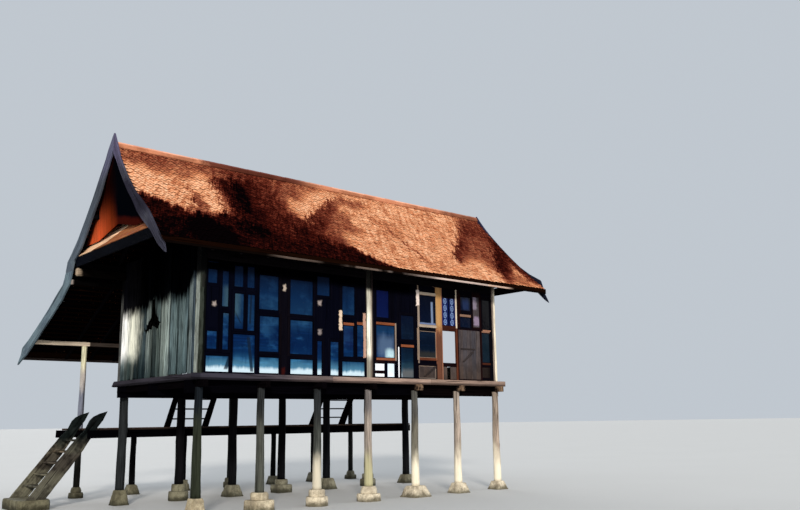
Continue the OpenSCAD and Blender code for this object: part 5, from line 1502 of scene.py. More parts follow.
fr, infill, bead = Build(), Build(), Build()
for sx0, sx1 in SHEETS:
    sheet = (sx0 / 1000, sx1 / 1000)
    inside = [l for l in LIGHTS if l[0] >= sheet[0] and l[1] <= sheet[1]]
    # boards that fill between the frames, upright, set back a little
    edges = sorted(set([sheet[0], sheet[1]] + [round(l[0] - .010, 3) for l in inside] + [round(l[1] + .010, 3) for l in inside]))
    edges = [e for e in edges if sheet[0] <= e <= sheet[1]]
    keep = [edges[0]]
    for e in edges[1:]:
        if e - keep[-1] >= 0.004 or e == edges[-1]:
            keep.append(e)
    for xa, xc in zip(keep, keep[1:]):
        if xc - xa < 0.003:
            continue
        xm = (xa + xc) / 2
        cuts = [(l[2] - .010, l[3] + .010) for l in inside if l[0] - .0101 < xm < l[1] + .0101]
        for z0, z1 in spans_out(2.441, HEAD - .001, cuts):
            plank(infill, (xm, -.034, z0), (0, 0, 1), z1 - z0, (1, 0, 0), xc - xa, (0, -1, 0), .030, k=1, n=3, ch=.002, gap=.0004, pt=max(0.0, frame_paint(xm, (z0 + z1) / 2, True) - .02))
    for l in inside:
        x0, x1, z0, z1 = l
        wl, wr, wb, wt = (side_gap(l, sheet, s) for s in "lrbt")
        front = F0 + rnd(.0006, .004)
        mid = (front + F1 - .001) / 2
        dep = (F1 - .001) - front
        # stiles run through, rails between them
        bar(fr, (x0 - wl / 2, mid, z0 - wb), (x0 - wl / 2, mid, z1 + wt), wl, dep, up=(0, 1, 0), n=3, ch=.003, wob=.0006, pt=frame_paint(x0 - wl / 2, (z0 + z1) / 2, True))
        bar(fr, (x1 + wr / 2, mid, z0 - wb), (x1 + wr / 2, mid, z1 + wt), wr, dep, up=(0, 1, 0), n=3, ch=.003, wob=.0006, pt=frame_paint(x1 + wr / 2, (z0 + z1) / 2, True))
        for zc, wz in ((z0 - wb / 2, wb), (z1 + wt / 2, wt)):
            bar(fr, (x0, mid + .001, zc), (x1, mid + .001, zc), dep - .003, wz, up=(0, 0, 1), n=3, ch=.003, wob=.0006, pt=frame_paint((x0 + x1) / 2, zc, False))
        # glazing beads
        bw = min(.012, (x1 - x0) * .16, (z1 - z0) * .16)
        pt = max(0.0, frame_paint(x0, (z0 + z1) / 2, True) - .01)
        for zc in (z0 + bw / 2, z1 - bw / 2):
            bar(bead, (x0, -.0445, zc), (x1, -.0445, zc), .013, bw, n=1, ch=.003, wob=.0003, pt=pt)
        for xc in (x0 + bw / 2, x1 - bw / 2):
            bar(bead, (xc, -.0445, z0 + bw), (xc, -.0445, z1 - bw), bw, .013, up=(0, 1, 0), n=1, ch=.003, wob=.0003, pt=pt)
fr.make("window_sashes", MAT["frames"], "frame_wood", ["front_window_frames"])
infill.make("window_wall_boards", MAT["frames"], "frame_wood", ["front_window_frames"])
bead.make("window_beads", MAT["frames"], "frame_wood", ["front_window_frames"])

# the unit with the unglazed light
b = Build()
op = [(6.060, 6.490, 2.890, 3.620), (6.060, 6.500, 3.740, 4.400), (6.060, 6.490, 2.520, 2.800)]
bar(b, (6.0345, -.035, 2.441), (6.0345, -.035, 4.609), .048, .0485, up=(0, 1, 0), n=8, ch=.004, wob=.001, pt=.56)
bar(b, (6.515, -.035, 2.441), (6.515, -.035, 3.70), .049, .0485, up=(0, 1, 0), n=6, ch=.004, wob=.001, pt=.34)
bar(b, (6.520, -.035, 3.70), (6.520, -.035, 4.609), .039, .0485, up=(0, 1, 0), n=6, ch=.004, wob=.001, pt=.90)
for z0, z1, pt in ((2.441, 2.519, .20), (2.801, 2.889, .16), (3.621, 3.739, .28), (4.401, 4.609, .04)):
    bar(b, (6.059, -.034, (z0 + z1) / 2), (6.492, -.034, (z0 + z1) / 2), .046, z1 - z0, n=4, ch=.004, wob=.0008, pt=pt)
bar(b, (6.281, -.046, 3.741), (6.281, -.046, 4.399), .020, .014, up=(0, 1, 0), n=3, ch=.003, wob=.0005, pt=.0)
for z in (3.747, 4.393):
    bar(b, (6.060, -.0445, z), (6.499, -.0445, z), .013, .012, n=2, ch=.003, wob=.0003, pt=.2)
b.make("window_open_unit", MAT["frames"], "brown_wood", ["open_window_frame"])

# glass: the CAD panes, with the printed pane in front of the blue one's face
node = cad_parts["front_glass"]
node.data.materials.clear()
node.data.materials.append(MAT["glass"])
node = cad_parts["back_glass"]
node.data.materials.clear()
node.data.materials.append(MAT["glass"])
b = Build()
plank(b, (6.280, -.0395, 3.741), (0, 0, 1), .658, (1, 0, 0), .438, (0, -1, 0), .0024, k=4, n=5, ch=.0004, gap=.0005)
b.make("window_printed_film", MAT["glass_print"], "glass")

# closed lights: boards with dark gaps, braces and a ledge
b = Build()
for l in BOARDED:
    x0, x1, z0, z1 = to_m(l)
    wide = x1 - x0
    if wide > .5 and z1 - z0 > .8:
        n = 5
    elif z1 - z0 > .6:
        n = 2
    else:
        n = 3
    pt = .45 if l[0] in (5310, 6570) else .3 if l[0] == 7080 else .95
    for k in range(n):
        w = wide / n
        plank(b, (x0 + (k + .5) * w, -.035, z0 + .001), (0, 0, 1), z1 - z0 - .002, (1, 0, 0), w, (0, -1, 0), .0185, k=2, n=5, cup=rnd(-.001, .001), bow=.0008, ch=.003, pt=pt + rnd(-.06, .04))
for x0, x1, z0, z1 in ((5.450, 5.820, 2.560, 2.795), (6.680, 7.060, 2.925, 3.190)):
    prism(b, [(x0, z0), (x0 + .060, z0), (x1, z1 - .045), (x1, z1), (x1 - .040, z1)], "y", -.0595, -.0455, ch=.003, udir=(1, .7), pt=.8)
bar(b, (6.641, -.0525, 3.2325), (7.119, -.0525, 3.2325), .0145, .034, n=3, ch=.003, wob=.0006, pt=.85)
for x0, x1 in ((6.060, 6.190), (6.300, 6.490)):
    plank(b, ((x0 + x1) / 2, -.035, 2.521), (0, 0, 1), .278, (1, 0, 0), x1 - x0, (0, -1, 0), .0185, k=2, n=3, cup=.001, ch=.003, pt=.5)
b.make("window_board_panels", MAT["panels"], "grey_board", ["front_wall_panels"])

# head boards under the wall plate, painted black as shade
b = Build()
for x0, x1 in ((.061, 3.819), (4.011, 7.739)):
    for k in range(3):
        plank(b, (x0, -.0475, 4.611 + (k + .5) * .1315), (1, 0, 0), x1 - x0, (0, 0, 1), .1315, (0, -1, 0), .023, k=1, n=10, bow=.001, ch=.003, pt=.05)
b.make("head_boards_front", MAT["soot"], "dark_beam", ["front_wall_head"])

# --------------------------------------------------------------------------
# end walls and back wall
# --------------------------------------------------------------------------
GAP = [(2.040, 4.060), (1.850, 4.040), (1.825, 3.720), (1.685, 3.670), (1.665, 3.460), (1.945, 3.550), (2.210, 3.410), (2.260, 3.460), (2.010, 3.730)]


def gap_at(y):
    zs = []
    for i, (ya, za) in enumerate(GAP):
        yb, zb = GAP[(i + 1) % len(GAP)]
        if min(ya, yb) <= y <= max(ya, yb) and ya != yb:
            zs.append(za + (zb - za) * (y - ya) / (yb - ya))
    return (min(zs), max(zs)) if len(zs) > 1 else None


EDGES = [.131, .250, .397, .600, .796, .970, 1.154, 1.350, 1.551, 1.730, 1.909, 2.060, 2.212, 2.360, 2.509, 2.635, 2.754, 2.900, 3.056, 3.240, 3.419]
b = Build()
XW = -.0475
for k, (ya, yc) in enumerate(zip(EDGES, EDGES[1:])):
    w = yc - ya
    ym = (ya + yc) / 2
    foot = 2.470 + rnd(0, .055)
    set_in = rnd(-.0035, .0035)
    pt = .5 + rnd(-.42, .30) + (.25 if ym > 2.7 else 0)
    gaps = .0022 if k % 2 else .0080
    touched = [gap_at(ym + v) for v in np.linspace(-w / 2, w / 2, 9)]
    kw = dict(k=7, n=10, cup=rnd(-.003, .003), bow=.004, ch=.004, pt=min(1, pt), gap=gaps, rn=rnd(0, 1))
    if any(touched):
        def cut(v, side, ym=ym):
            g = gap_at(ym + v)
            if g is None:
                near = [t for t in touched if t]
                g = near[0]
                mid = (g[0] + g[1]) / 2
                return mid + (.001 if side else -.001)
            return g[side]
        plank(b, (XW + set_in, ym, 0), (0, 0, 1), 5, (0, 1, 0), w, (-1, 0, 0), .024, z0=lambda v: foot, z1=lambda v: cut(v, 0), rag0=.02, rag1=.10, **kw)
        plank(b, (XW + set_in, ym, 0), (0, 0, 1), 5, (0, 1, 0), w, (-1, 0, 0), .024, z0=lambda v: cut(v, 1), z1=lambda v: PZ - .002, rag0=.10, **kw)
    else:
        plank(b, (XW + set_in, ym, 0), (0, 0, 1), 5, (0, 1, 0), w, (-1, 0, 0), .024, z0=lambda v: foot, z1=lambda v: PZ - .002, rag0=.02, **kw)
# rails on the inside that hold the planks
for z in (2.62, 3.30, 4.30):
    bar(b, (-.012, .150, z), (-.012, 3.400, z), .040, .055, n=6, ch=.004, wob=.001, pt=.1)
b.make("planks_left_wall", MAT["planks"], "wall_plank", ["left_wall"])


def wall_planks(b, along, a0, a1, fixed, z0, z1, nd, width, cuts, pt=.4):
    """Upright planks from a0 to a1 along X or Y, with the openings in cuts
    (from, to, foot, head) left free."""
    marks = sorted(set([a0, a1] + [c for q in cuts for c in q[:2] if a0 < c < a1]))
    for s, t in zip(marks, marks[1:]):
        n = max(1, round((t - s) / width))
        for k in range(n):
            w = (t - s) / n
            m = s + (k + .5) * w
            for za, zc in spans_out(z0, z1, [(q[2], q[3]) for q in cuts if q[0] < m < q[1]]):
                p0 = (m, fixed, za) if along == "x" else (fixed, m, za)
                wd = (1, 0, 0) if along == "x" else (0, 1, 0)
                plank(b, p0, (0, 0, 1), zc - za, wd, w, nd, .024, k=2, n=6, cup=rnd(-.0015, .0015), bow=.002, ch=.003, pt=pt + rnd(-.3, .3), gap=.002)


b = Build()
wall_planks(b, "y", .131, 3.419, 7.8475, 2.381, PZ, (1, 0, 0), .170, [(1.100, 2.100, 2.930, 4.250)])
for z in (2.62, 4.40):
    bar(b, (7.815, .150, z), (7.815, 3.400, z), .038, .055, n=6, ch=.004, wob=.001, pt=.1)
for y in (1.080, 2.120):
    bar(b, (7.830, y, 2.905), (7.830, y, 4.275), .040, .058, up=(1, 0, 0), n=4, ch=.004, wob=.001, pt=.4)
for z in (2.912, 4.268):
    bar(b, (7.830, 1.105, z), (7.830, 2.095, z), .058, .035, n=4, ch=.004, wob=.001, pt=.4)
b.make("planks_right_wall", MAT["planks_in"], "wall_plank", ["right_wall"])

b = Build()
DOORS = [(1.360, 2.160), (5.260, 6.060)]
BWIN = [(2.950, 3.550, 2.930, 4.250), (4.200, 4.800, 2.930, 4.250)]
for i in range(6):
    x0, x1 = i * BAY + .061, (i + 1) * BAY - .061
    cuts = [q for q in BWIN if x0 - .1 < q[0] < x1]
    for d0, d1 in DOORS:
        if x0 - .1 < d0 < x1:
            cuts.append((d0, d1, 2.0, 6.0))
    wall_planks(b, "x", x0, x1, 3.5275, 2.441, BACK_PLATE_Z - .001, (0, 1, 0), .165, cuts)
b.make("planks_back_wall", MAT["planks_in"], "wall_plank", ["back_wall"])

b = Build()
for d0, d1 in DOORS:
    wall_planks(b, "x", d0, d1, 3.5275, 4.351, BACK_PLATE_Z - .001, (0, 1, 0), .160, [])
    bar(b, (d0 + .001, 3.500, 4.375), (d1 - .001, 3.500, 4.375), .030, .050, n=3, ch=.004, wob=.001, pt=.3)
b.make("planks_over_doors", MAT["planks_in"], "wall_plank", ["back_wall_over_doors"])

b = Build()
for x0, x1, z0, z1 in BWIN:
    for xa in (x0 + .025, x1 - .025):
        bar(b, (xa, 3.5125, z0), (xa, 3.5125, z1), .049, .054, up=(0, 1, 0), n=4, ch=.004, wob=.0008, pt=.35)
    for za in (z0 + .025, z1 - .025):
        bar(b, (x0 + .05, 3.5125, za), (x1 - .05, 3.5125, za), .053, .049, n=4, ch=.004, wob=.0008, pt=.35)
    bar(b, (x0 + .05, 3.530, (z0 + z1) / 2), (x1 - .05, 3.530, (z0 + z1) / 2), .014, .022, n=2, ch=.003, wob=.0005, pt=.3)
    bar(b, ((x0 + x1) / 2, 3.530, z0 + .05), ((x0 + x1) / 2, 3.530, z1 - .05), .022, .014, up=(0, 1, 0), n=2, ch=.003, wob=.0005, pt=.3)
b.make("window_frames_back", MAT["frames"], "brown_wood", ["back_window_frames"])

# --------------------------------------------------------------------------
# roof frame
# --------------------------------------------------------------------------
# the roof timbers take the near-black paint that stands for the shade under the roof
b = Build()
bar(b, (XL + .03, 0, PLATE_Z + .060), (XR - .03, 0, PLATE_Z + .060), .119, .119, n=20, ch=.008, wob=.002, pt=.05)
bar(b, (XL + .03, Y_B - .060, BACK_PLATE_Z + .060), (XR - .03, Y_B - .060, BACK_PLATE_Z + .060), .119, .119, n=20, ch=.008, wob=.002, pt=.05)
b.make("plates_on_the_walls", MAT["soot"], "dark_beam", ["wall_plates"])

b = Build()
for i in range(7):
    x = .020 if i == 0 else 7.780 if i == 6 else i * BAY
    y0 = .060 if i == 3 else .130 if i in (0, 6) else -.030
    bar(b, (x, y0, PLATE_Z - .050), (x, Y_B - .120, PLATE_Z - .050), .099, .099, n=8, ch=.007, wob=.002, pt=.1)
b.make("ties_across", MAT["soot"], "dark_beam", ["tie_beams"])

RB_TOP = roof_at(.030) - .090
b = Build()
for i in range(7):
    bar(b, (i * BAY, RIDGE_Y, PLATE_Z), (i * BAY, RIDGE_Y, RB_TOP - .150), .089, .089, up=(0, 1, 0), n=8, ch=.006, wob=.003, pt=.1)
b.make("posts_of_the_ridge", MAT["soot"], "dark_beam", ["king_posts"])

b = Build()
bar(b, (XL, RIDGE_Y, RB_TOP - .075), (XR, RIDGE_Y, RB_TOP - .075), .059, .149, n=20, ch=.005, wob=.001, pt=.05)
b.make("beam_of_the_ridge", MAT["soot"], "dark_beam", ["ridge_beam"])

PUR_TOP = roof_at(.995) - .190
b = Build()
for s in (-1, 1):
    bar(b, (XL, RIDGE_Y + s * .950, PUR_TOP - .045), (XR, RIDGE_Y + s * .950, PUR_TOP - .045), .089, .089, n=20, ch=.006, wob=.001, pt=.1)
b.make("purlins_of_the_roof", MAT["soot"], "dark_beam", ["purlins"])

b = Build()
for i in range(15):
    x = -.150 + i * 8.100 / 14
    for s in (-1, 1):
        ds = [.030] + [k * SEG for k in range(1, 8)] + [RUN - .040]
        pts = [(RIDGE_Y + s * d, roof_at(d) - .092) for d in ds] + [(RIDGE_Y + s * d, roof_at(d) - .189) for d in ds[::-1]]
        prism(b, pts, "x", x - .0295, x + .0295, ch=.004, udir=(s, -1), pt=.12)
b.make("rafters_of_the_roof", MAT["soot"], "dark_beam", ["rafters"])

b = Build()
LED = ver_roof_at(Y_B + .080) - .110
VPZ = ver_roof_at(VER_Y + .045) - .200
bar(b, (XL, 3.580, LED - .050), (XR, 3.580, LED - .050), .079, .099, n=20, ch=.006, wob=.001, pt=.02)
# the outer purlin: a pale length over the end post, painted sunlight, and painted dark beyond as shade
bar(b, (XL, VER_Y, VPZ + .045), (.115, VER_Y, VPZ + .045), .089, .089, n=8, ch=.008, wob=.002, pt=1.0, ends=.0)
bar(b, (.118, VER_Y, VPZ + .045), (XR, VER_Y, VPZ + .045), .087, .087, n=18, ch=.008, wob=.0015, pt=.08)
for xa, xc in ((XL + .001, -.061), (7.861, XR - .001)):
    bar(b, (xa, 3.360, 4.720), (xc, 3.360, 4.720), .099, .159, n=6, ch=.022, wob=.002, pt=.9 if xa < 0 else .3)
b.make("purlins_of_the_verandah", MAT["pale"], "pale_wood", ["verandah_purlins"])

b = Build()
for i in range(15):
    x = -.150 + i * 8.100 / 14
    ya, yc = Y_B, 6.420
    prism(b, [(ya, ver_roof_at(ya) - .062), (yc, ver_roof_at(yc) - .062), (yc, ver_roof_at(yc) - .109), (ya, ver_roof_at(ya) - .109)], "x", x - .0295, x + .0295, ch=.004, udir=(1, -.514), step=.5, rough=.0008, pt=.1)
b.make("rafters_of_the_verandah", MAT["soot"], "dark_beam", ["verandah_rafters"])

# --------------------------------------------------------------------------
# roof covering: small clay tiles with pointed butts, laid one by one
# --------------------------------------------------------------------------
TW, TE, TL, TT = .1060, .0700, .175, .0100


def lay_tiles(name, mat, slot, nodes, place, total, seed, depth_top=-.003, drop=.026, first_cut=.02):
    """place(s) gives (y, z, tangent y, z, normal y, z) at s metres down the
    slope from its top; total is the slope's length."""
    g = np.random.default_rng(seed)
    cols = int(round((XR - XL) / TW))
    tw = (XR - XL) / cols
    rows = int((total - first_cut) / TE)
    cs, ss, half = [], [], []
    for r in range(rows):
        sb = total - r * TE
        shift = 0.5 * (r % 2)
        for c in range(-1, cols + 1):
            x = XL + (c + .5 + shift) * tw
            if XL + .012 < x < XR - .012:
                cs.append(x)
                ss.append(sb)
    cs, ss = np.array(cs), np.array(ss)
    n = len(cs)
    butt = ss + g.normal(0, .0050, n)
    slip = g.uniform(0, 1, n) < .02
    butt = butt + np.where(slip, g.uniform(.008, .022, n), 0)
    butt = np.minimum(butt, total)
    rowy = g.normal(0, .0016, n)
    length = np.minimum(TL, butt - first_cut * .5)
    length = np.maximum(length, .05)
    # local outline on a 3 by 3 grid: v across, u up from the butt
    vg = np.array([-.5, 0, .5, -.5, 0, .5, -.27, 0, .27])
    ug = np.array([1, 1, 1, np.nan, np.nan, np.nan, .024, 0, .024])
    V = np.zeros((n, 18, 3))
    LOC = np.zeros((n, 18, 3))
    wid = tw * g.uniform(.955, .99, n)
    rot = g.normal(0, .012, n)
    lift = g.normal(0, .0018, n) - .001
    tilt = g.normal(0, .012, n)
    for k in range(9):
        v = vg[k] * wid
        if k < 3:
            u = length
        elif k < 6:
            u = np.full(n, .052)
        else:
            u = np.full(n, ug[k])
        xx = cs + v * 1.0 + u * rot
        xx = np.clip(xx, XL, XR)
        s = butt - u + v * rot
        s = np.clip(s, 0.0, total)
        camber = .0035 * (1 - (2 * vg[k]) ** 2)
        off = depth_top - drop * (u / TL) + lift + camber - .0035 + tilt * v + rowy
        off = np.minimum(off, 0.0)
        y, z, ty, tz, ny, nz = place(s)
        V[:, k, 0], V[:, k, 1], V[:, k, 2] = xx, y + ny * off, z + nz * off
        V[:, k + 9, 0], V[:, k + 9, 1], V[:, k + 9, 2] = xx, y + ny * (off - TT), z + nz * (off - TT)
        for q, wv in ((k, .0), (k + 9, TT)):
            LOC[:, q, 0], LOC[:, q, 1], LOC[:, q, 2] = u, v, wv
    top = [(0, 1, 4, 3), (1, 2, 5, 4), (3, 4, 7, 6), (4, 5, 8, 7)]
    rim = [0, 1, 2, 5, 8, 7, 6, 3]
    quads = list(top) + [tuple(i + 9 for i in q[::-1]) for q in top]
    for a, c in zip(rim, rim[1:] + rim[:1]):
        quads.append((a, a + 9, c + 9, c))
    quads = np.array(quads)
    allq = (quads[None] + (np.arange(n) * 18)[:, None, None]).reshape(-1, 4)
    bb = Build()
    tn = np.stack([g.uniform(0, 1, n), g.uniform(0, 1, n), (total - ss) / total], 1)
    bb.add(V.reshape(-1, 3), [allq], LOC.reshape(-1, 3), (TL, tw / 2, TT / 2), np.repeat(tn, 18, 0))
    return bb.make(name, mat, slot, nodes)


# the curved slope as a table from distance down the slope to distance from the ridge
_d = np.linspace(0, RUN, 600)
_z = curve_at(_d)
_s = np.concatenate([[0], np.cumsum(np.hypot(np.diff(_d), np.diff(_z)))])
SLOPE_LEN = float(_s[-1])


def slope_place(sign):
    def place(s):
        d = np.interp(s, _s, _d)
        z = curve_at(d)
        dz = -SLOPE0 + CURVE * d
        k = 1 / np.sqrt(1 + dz * dz)
        return RIDGE_Y + sign * d, z, sign * k, dz * k, -dz * k * sign, k
    return place


VER_LEN = (6.480 - Y_B) * math.hypot(1, .514)


def ver_place(s):
    k = 1 / math.hypot(1, .514)
    y = Y_B + s * k
    return y, 4.830 - .514 * (y - 3.355), k, -.514 * k, .514 * k + 0 * s, k + 0 * s


lay_tiles("tiles_front_slope", MAT["tile_front"], "roof_tile", ["front_roof"], slope_place(-1), SLOPE_LEN, 11)
lay_tiles("tiles_back_slope", MAT["tile_back"], "roof_tile", ["back_roof"], slope_place(1), SLOPE_LEN, 12)
lay_tiles("tiles_verandah_slope", MAT["tile_back"], "roof_tile", ["verandah_roof"], ver_place, VER_LEN, 13, drop=.022)


def batten_tone(m, x, y, z, col):
    # the underside catches the light near the gable, the rest is painted black as shade
    near = m.sub(1.0, m.smooth(x, -.98, -.82))
    rear = m.mul(m.smooth(y, 1.7, 2.2), m.sub(1.0, m.smooth(y, 2.8, 3.2)))
    return m.mix(m.mul(near, rear), m.mix(1.0, col, (0.03, 0.03, 0.04, 1), "MULTIPLY"), m.mix(1.0, col, (0.28, 0.18, 0.17, 1), "MULTIPLY"))


MAT["batten"] = wood("battens_brown", stops((0.0, srgb(120, 72, 44)), (1.0, srgb(164, 98, 58))), fibre=0.4, vary=0.25, tone=batten_tone, gloss=0.0)
for name, node, place, total, drop in (
    ("battens_front", "front_roof", slope_place(-1), SLOPE_LEN, .060),
    ("battens_back", "back_roof", slope_place(1), SLOPE_LEN, .060),
    ("battens_verandah", "verandah_roof", ver_place, VER_LEN, .047),
):
    b = Build()
    k = 0
    s = total - .030
    while s > .06:
        y, z, ty, tz, ny, nz = [float(q) for q in place(np.array([s]))] if False else [float(np.asarray(q).ravel()[0]) for q in place(np.array([s]))]
        yy, zz = y - ny * (drop - .009), z - nz * (drop - .009)
        x = XL + .002
        while x < XR - .01:
            x2 = min(XR - .002, x + rnd(2.0, 3.6))
            if XR - x2 < .5:
                x2 = XR - .002
            bar(b, (x, yy, zz), (x2 - .003, yy, zz), .034, .018, up=(0, ny, nz), n=5, ch=.002, wob=.0012, pt=rnd(0, 1))
            x = x2
        s -= .170
    # a fillet closes the foot between the last course and the eave board, and
    # a thin board under the last battens backs the first course
    if node == "verandah_roof":
        yf, zf, hf, deep = 6.464, ver_roof_at(6.480) - .0345, .049, .0505
    else:
        yf, zf, hf, deep = RIDGE_Y + (-1 if node == "front_roof" else 1) * (RUN - .016), roof_at(RUN) - .0508, .077, .0655
    y, z, ty, tz, ny, nz = [float(np.asarray(q).ravel()[0]) for q in place(np.array([total - .120]))]
    cuts = np.linspace(XL + .002, XR - .002, 5)
    held = R.bit_generator.state
    for k, (x, x2) in enumerate(zip(cuts, cuts[1:])):
        bar(b, (x, yf, zf), (x2 - .001, yf, zf), .028, hf, n=6, ch=.002, wob=0, pt=.3 + .4 * (k % 2))
        bar(b, (x, y - ny * deep, z - nz * deep), (x2 - .001, y - ny * deep, z - nz * deep), .168, .004, up=(0, ny, nz), n=6, ch=.001, wob=0, pt=.7 - .4 * (k % 2))
    R.bit_generator.state = held
    b.make(name, MAT["batten"], "roof_tile", [node])

# ridge cap: round tiles lapped over each other on a bed of mortar
b = Build()
n = 31
step = (XR - XL) / n
prof = [(-.062, -.056), (-.057, -.034), (-.046, -.004), (-.031, .028), (-.015, .052), (0, .064), (.015, .052), (.031, .028), (.046, -.004), (.057, -.034), (.062, -.056)]
for k in range(n):
    x0, x1 = XL + k * step, min(XR, XL + (k + 1) * step + .030)
    xs = np.linspace(x0, x1, 6)
    dz, dy = rnd(-.0015, 0), rnd(-.003, .003)
    top, bot, lt, lb = [], [], [], []
    for q, x in enumerate(xs):
        f = q / 5
        sc = 1.0 - .075 * f - (.02 if q == 0 else 0)
        rt, rb, l0, l1 = [], [], [], []
        for (py, pz) in prof:
            zt = 7.020 + pz * sc + dz
            rt.append((x, RIDGE_Y + py * sc + dy, min(zt, 7.087)))
            rb.append((x, RIDGE_Y + py * sc * .86 + dy, min(zt, 7.087) - .014))
            l0.append((x - x0, py, .01))
            l1.append((x - x0, py, -.01))
        top.append(rt), bot.append(rb), lt.append(l0), lb.append(l1)
    grid_solid(b, np.array(top), np.array(bot), np.array(lt), np.array(lb), (x1 - x0, .065, .01), (rnd(0, 1), rnd(0, 1), 0))
for s in (-1, 1):
    x = XL + .002
    while x < XR - .02:
        x2 = min(XR - .002, x + rnd(.5, .9))
        d = .052
        bar(b, (x, RIDGE_Y + s * d, roof_at(d) + .004), (x2, RIDGE_Y + s * d, roof_at(d) + .004), .024, .020, up=(0, s * .74, .67), n=10, ch=.005, wob=.003, pt=0)
        x = x2 - .004
b.make("tiles_ridge_cap", MAT["ridge"], "ridge_tile", ["ridge_cap"], smooth=False)


# --------------------------------------------------------------------------
# bargeboards and gables
# --------------------------------------------------------------------------
F_OUT = [(0, 230), (250, 82), (310, 33), (410, 14), (620, -21), (840, -40), (1100, -34), (1460, 35), (1760, 63), (1960, 13), (2160, -34), (2340, -93)]
F_INN = [(0, -160), (70, -175), (180, -184), (370, -230), (570, -260), (790, -285), (1050, -273), (1240, -315), (1530, -286), (1890, -221), (2120, -241)]
R_OUT = [(0, 90), (110, 50), (300, 10), (460, -10), (810, -30), (1140, -40), (1470, -45), (1790, 0), (2150, 95), (2205, -30)]
B_OUT = [(0, 230), (260, 217), (370, 164), (520, 150), (670, 127), (960, 64), (1280, 27), (1640, -4), (1960, 20), (2146, 52)]
B_INN = [(0, -125), (150, -130), (280, -172), (400, -214), (500, -290), (650, -315), (970, -335), (1120, -370), (1290, -383), (1430, -393), (1600, -345)]
B_LOW = [(2600, 29), (3165, 0), (3550, 10), (3942, 26), (4347, 50), (4700, 100), (4774, 108), (4815, 0)]


def over_roof(pts):
    return [(d / 1000, roof_at(d / 1000) + h / 1000) for d, h in pts]


def vr(y_off, h):
    y = VER_Y + y_off
    return (y - RIDGE_Y, ver_roof_at(y) + h)


left_out = over_roof(F_OUT) + [(2.420, 4.640), (2.500, 4.450)]
left_in = over_roof(F_INN) + [(2.250, 4.600), (2.500, 4.450)]
right_out = over_roof(R_OUT) + [(2.220, 4.753), (2.375, 4.433)]
right_in = over_roof(F_INN[:-1]) + [(2.015, 4.756), (2.255, 4.522), (2.375, 4.433)]
up_out = over_roof(B_OUT) + [(2.205, 4.823), (2.231, 4.750)]
up_out_r = over_roof([(0, 90)] + B_OUT[2:]) + [(2.205, 4.823), (2.231, 4.750)]
up_in = over_roof(B_INN) + [(1.780, roof_at(1.780) - .280), (1.860, 4.750)]
lo_out = [(2.231, 4.750), (2.265, 4.655), (2.357, 4.523)] + [(d / 1000, ver_roof_at(RIDGE_Y + d / 1000) + h / 1000) for d, h in B_LOW] + [(VER_Y + 1.005 - RIDGE_Y, 3.000)]
lo_in = [(1.860, 4.750), (1.990, 4.480), (2.390, ver_roof_at(RIDGE_Y + 2.390) - .285), (2.920, ver_roof_at(RIDGE_Y + 2.920) - .285), vr(-.355, -.265), vr(.450, -.220), vr(.660, -.170), (VER_Y + 1.005 - RIDGE_Y, 3.000)]


def along(pts, n):
    p = np.array(pts, float)
    s = np.concatenate([[0], np.cumsum(np.hypot(*np.diff(p, axis=0).T))])
    t = np.linspace(0, s[-1], n)
    # the outline is resampled at even steps along its length
    q = np.stack([np.interp(t, s, p[:, 0]), np.interp(t, s, p[:, 1])], 1)
    return q


def ribbon(b, outer, inner, sign, x0, x1, n=56, m=7, pt=0.0, ch=.006):
    o, i = along(outer, n), along(inner, n)
    v = np.concatenate([[0, .012], np.linspace(.1, .9, m), [.988, 1]])
    cols = len(v)
    mid = (o + i) / 2
    s = np.concatenate([[0], np.cumsum(np.hypot(*np.diff(mid, axis=0).T))])
    wid = np.hypot(*(o - i).T)
    P = o[:, None, :] * (1 - v)[None, :, None] + i[:, None, :] * v[None, :, None]
    half = np.full((n, cols), (x1 - x0) / 2)
    half[:, 0] -= ch
    half[:, -1] -= ch
    half[0, :] -= ch * .5
    half[-1, :] = (x1 - x0) / 2 - ch
    rough = R.uniform(0, 1, (n, cols)) * .0012
    xm = (x0 + x1) / 2
    top = np.stack([xm - half + rough, RIDGE_Y + sign * P[..., 0], P[..., 1]], -1)
    bot = np.stack([xm + half - rough, RIDGE_Y + sign * P[..., 0], P[..., 1]], -1)
    lu = np.broadcast_to(s[:, None], (n, cols))
    lv = (v[None, :] - .5) * wid[:, None]
    sz = np.stack([np.full(lu.shape, s[-1]), np.broadcast_to((wid / 2)[:, None], lu.shape), np.full(lu.shape, (x1 - x0) / 2)], -1)
    lt = np.stack([lu, lv, half], -1)
    lb = np.stack([lu, lv, -half], -1)
    grid_solid(b, top, bot, lt, lb, np.concatenate([sz.reshape(-1, 3), sz.reshape(-1, 3)]), (rnd(0, 1), rnd(0, 1), pt))


for name, node, x0, x1 in (("barge_left", "left_bargeboards", -1.167, -1.127), ("barge_right", "right_bargeboards", 9.080, 9.120)):
    b = Build()
    if x0 < 0:
        ribbon(b, left_out, left_in, -1, x0, x1, n=84, pt=.15)
        ribbon(b, up_out, up_in, 1, x0, x1, n=70, pt=.30)
    else:
        ribbon(b, right_out, right_in, -1, x0, x1, n=84, pt=.15)
        ribbon(b, up_out_r, up_in, 1, x0, x1, n=70, pt=.30)
    ribbon(b, lo_out, lo_in, 1, x0, x1, n=90, pt=.42)
    b.make(name, MAT["barge"], "barge_wood", [node])


def gable_half(z, gap):
    return run_at(z + .090) - gap


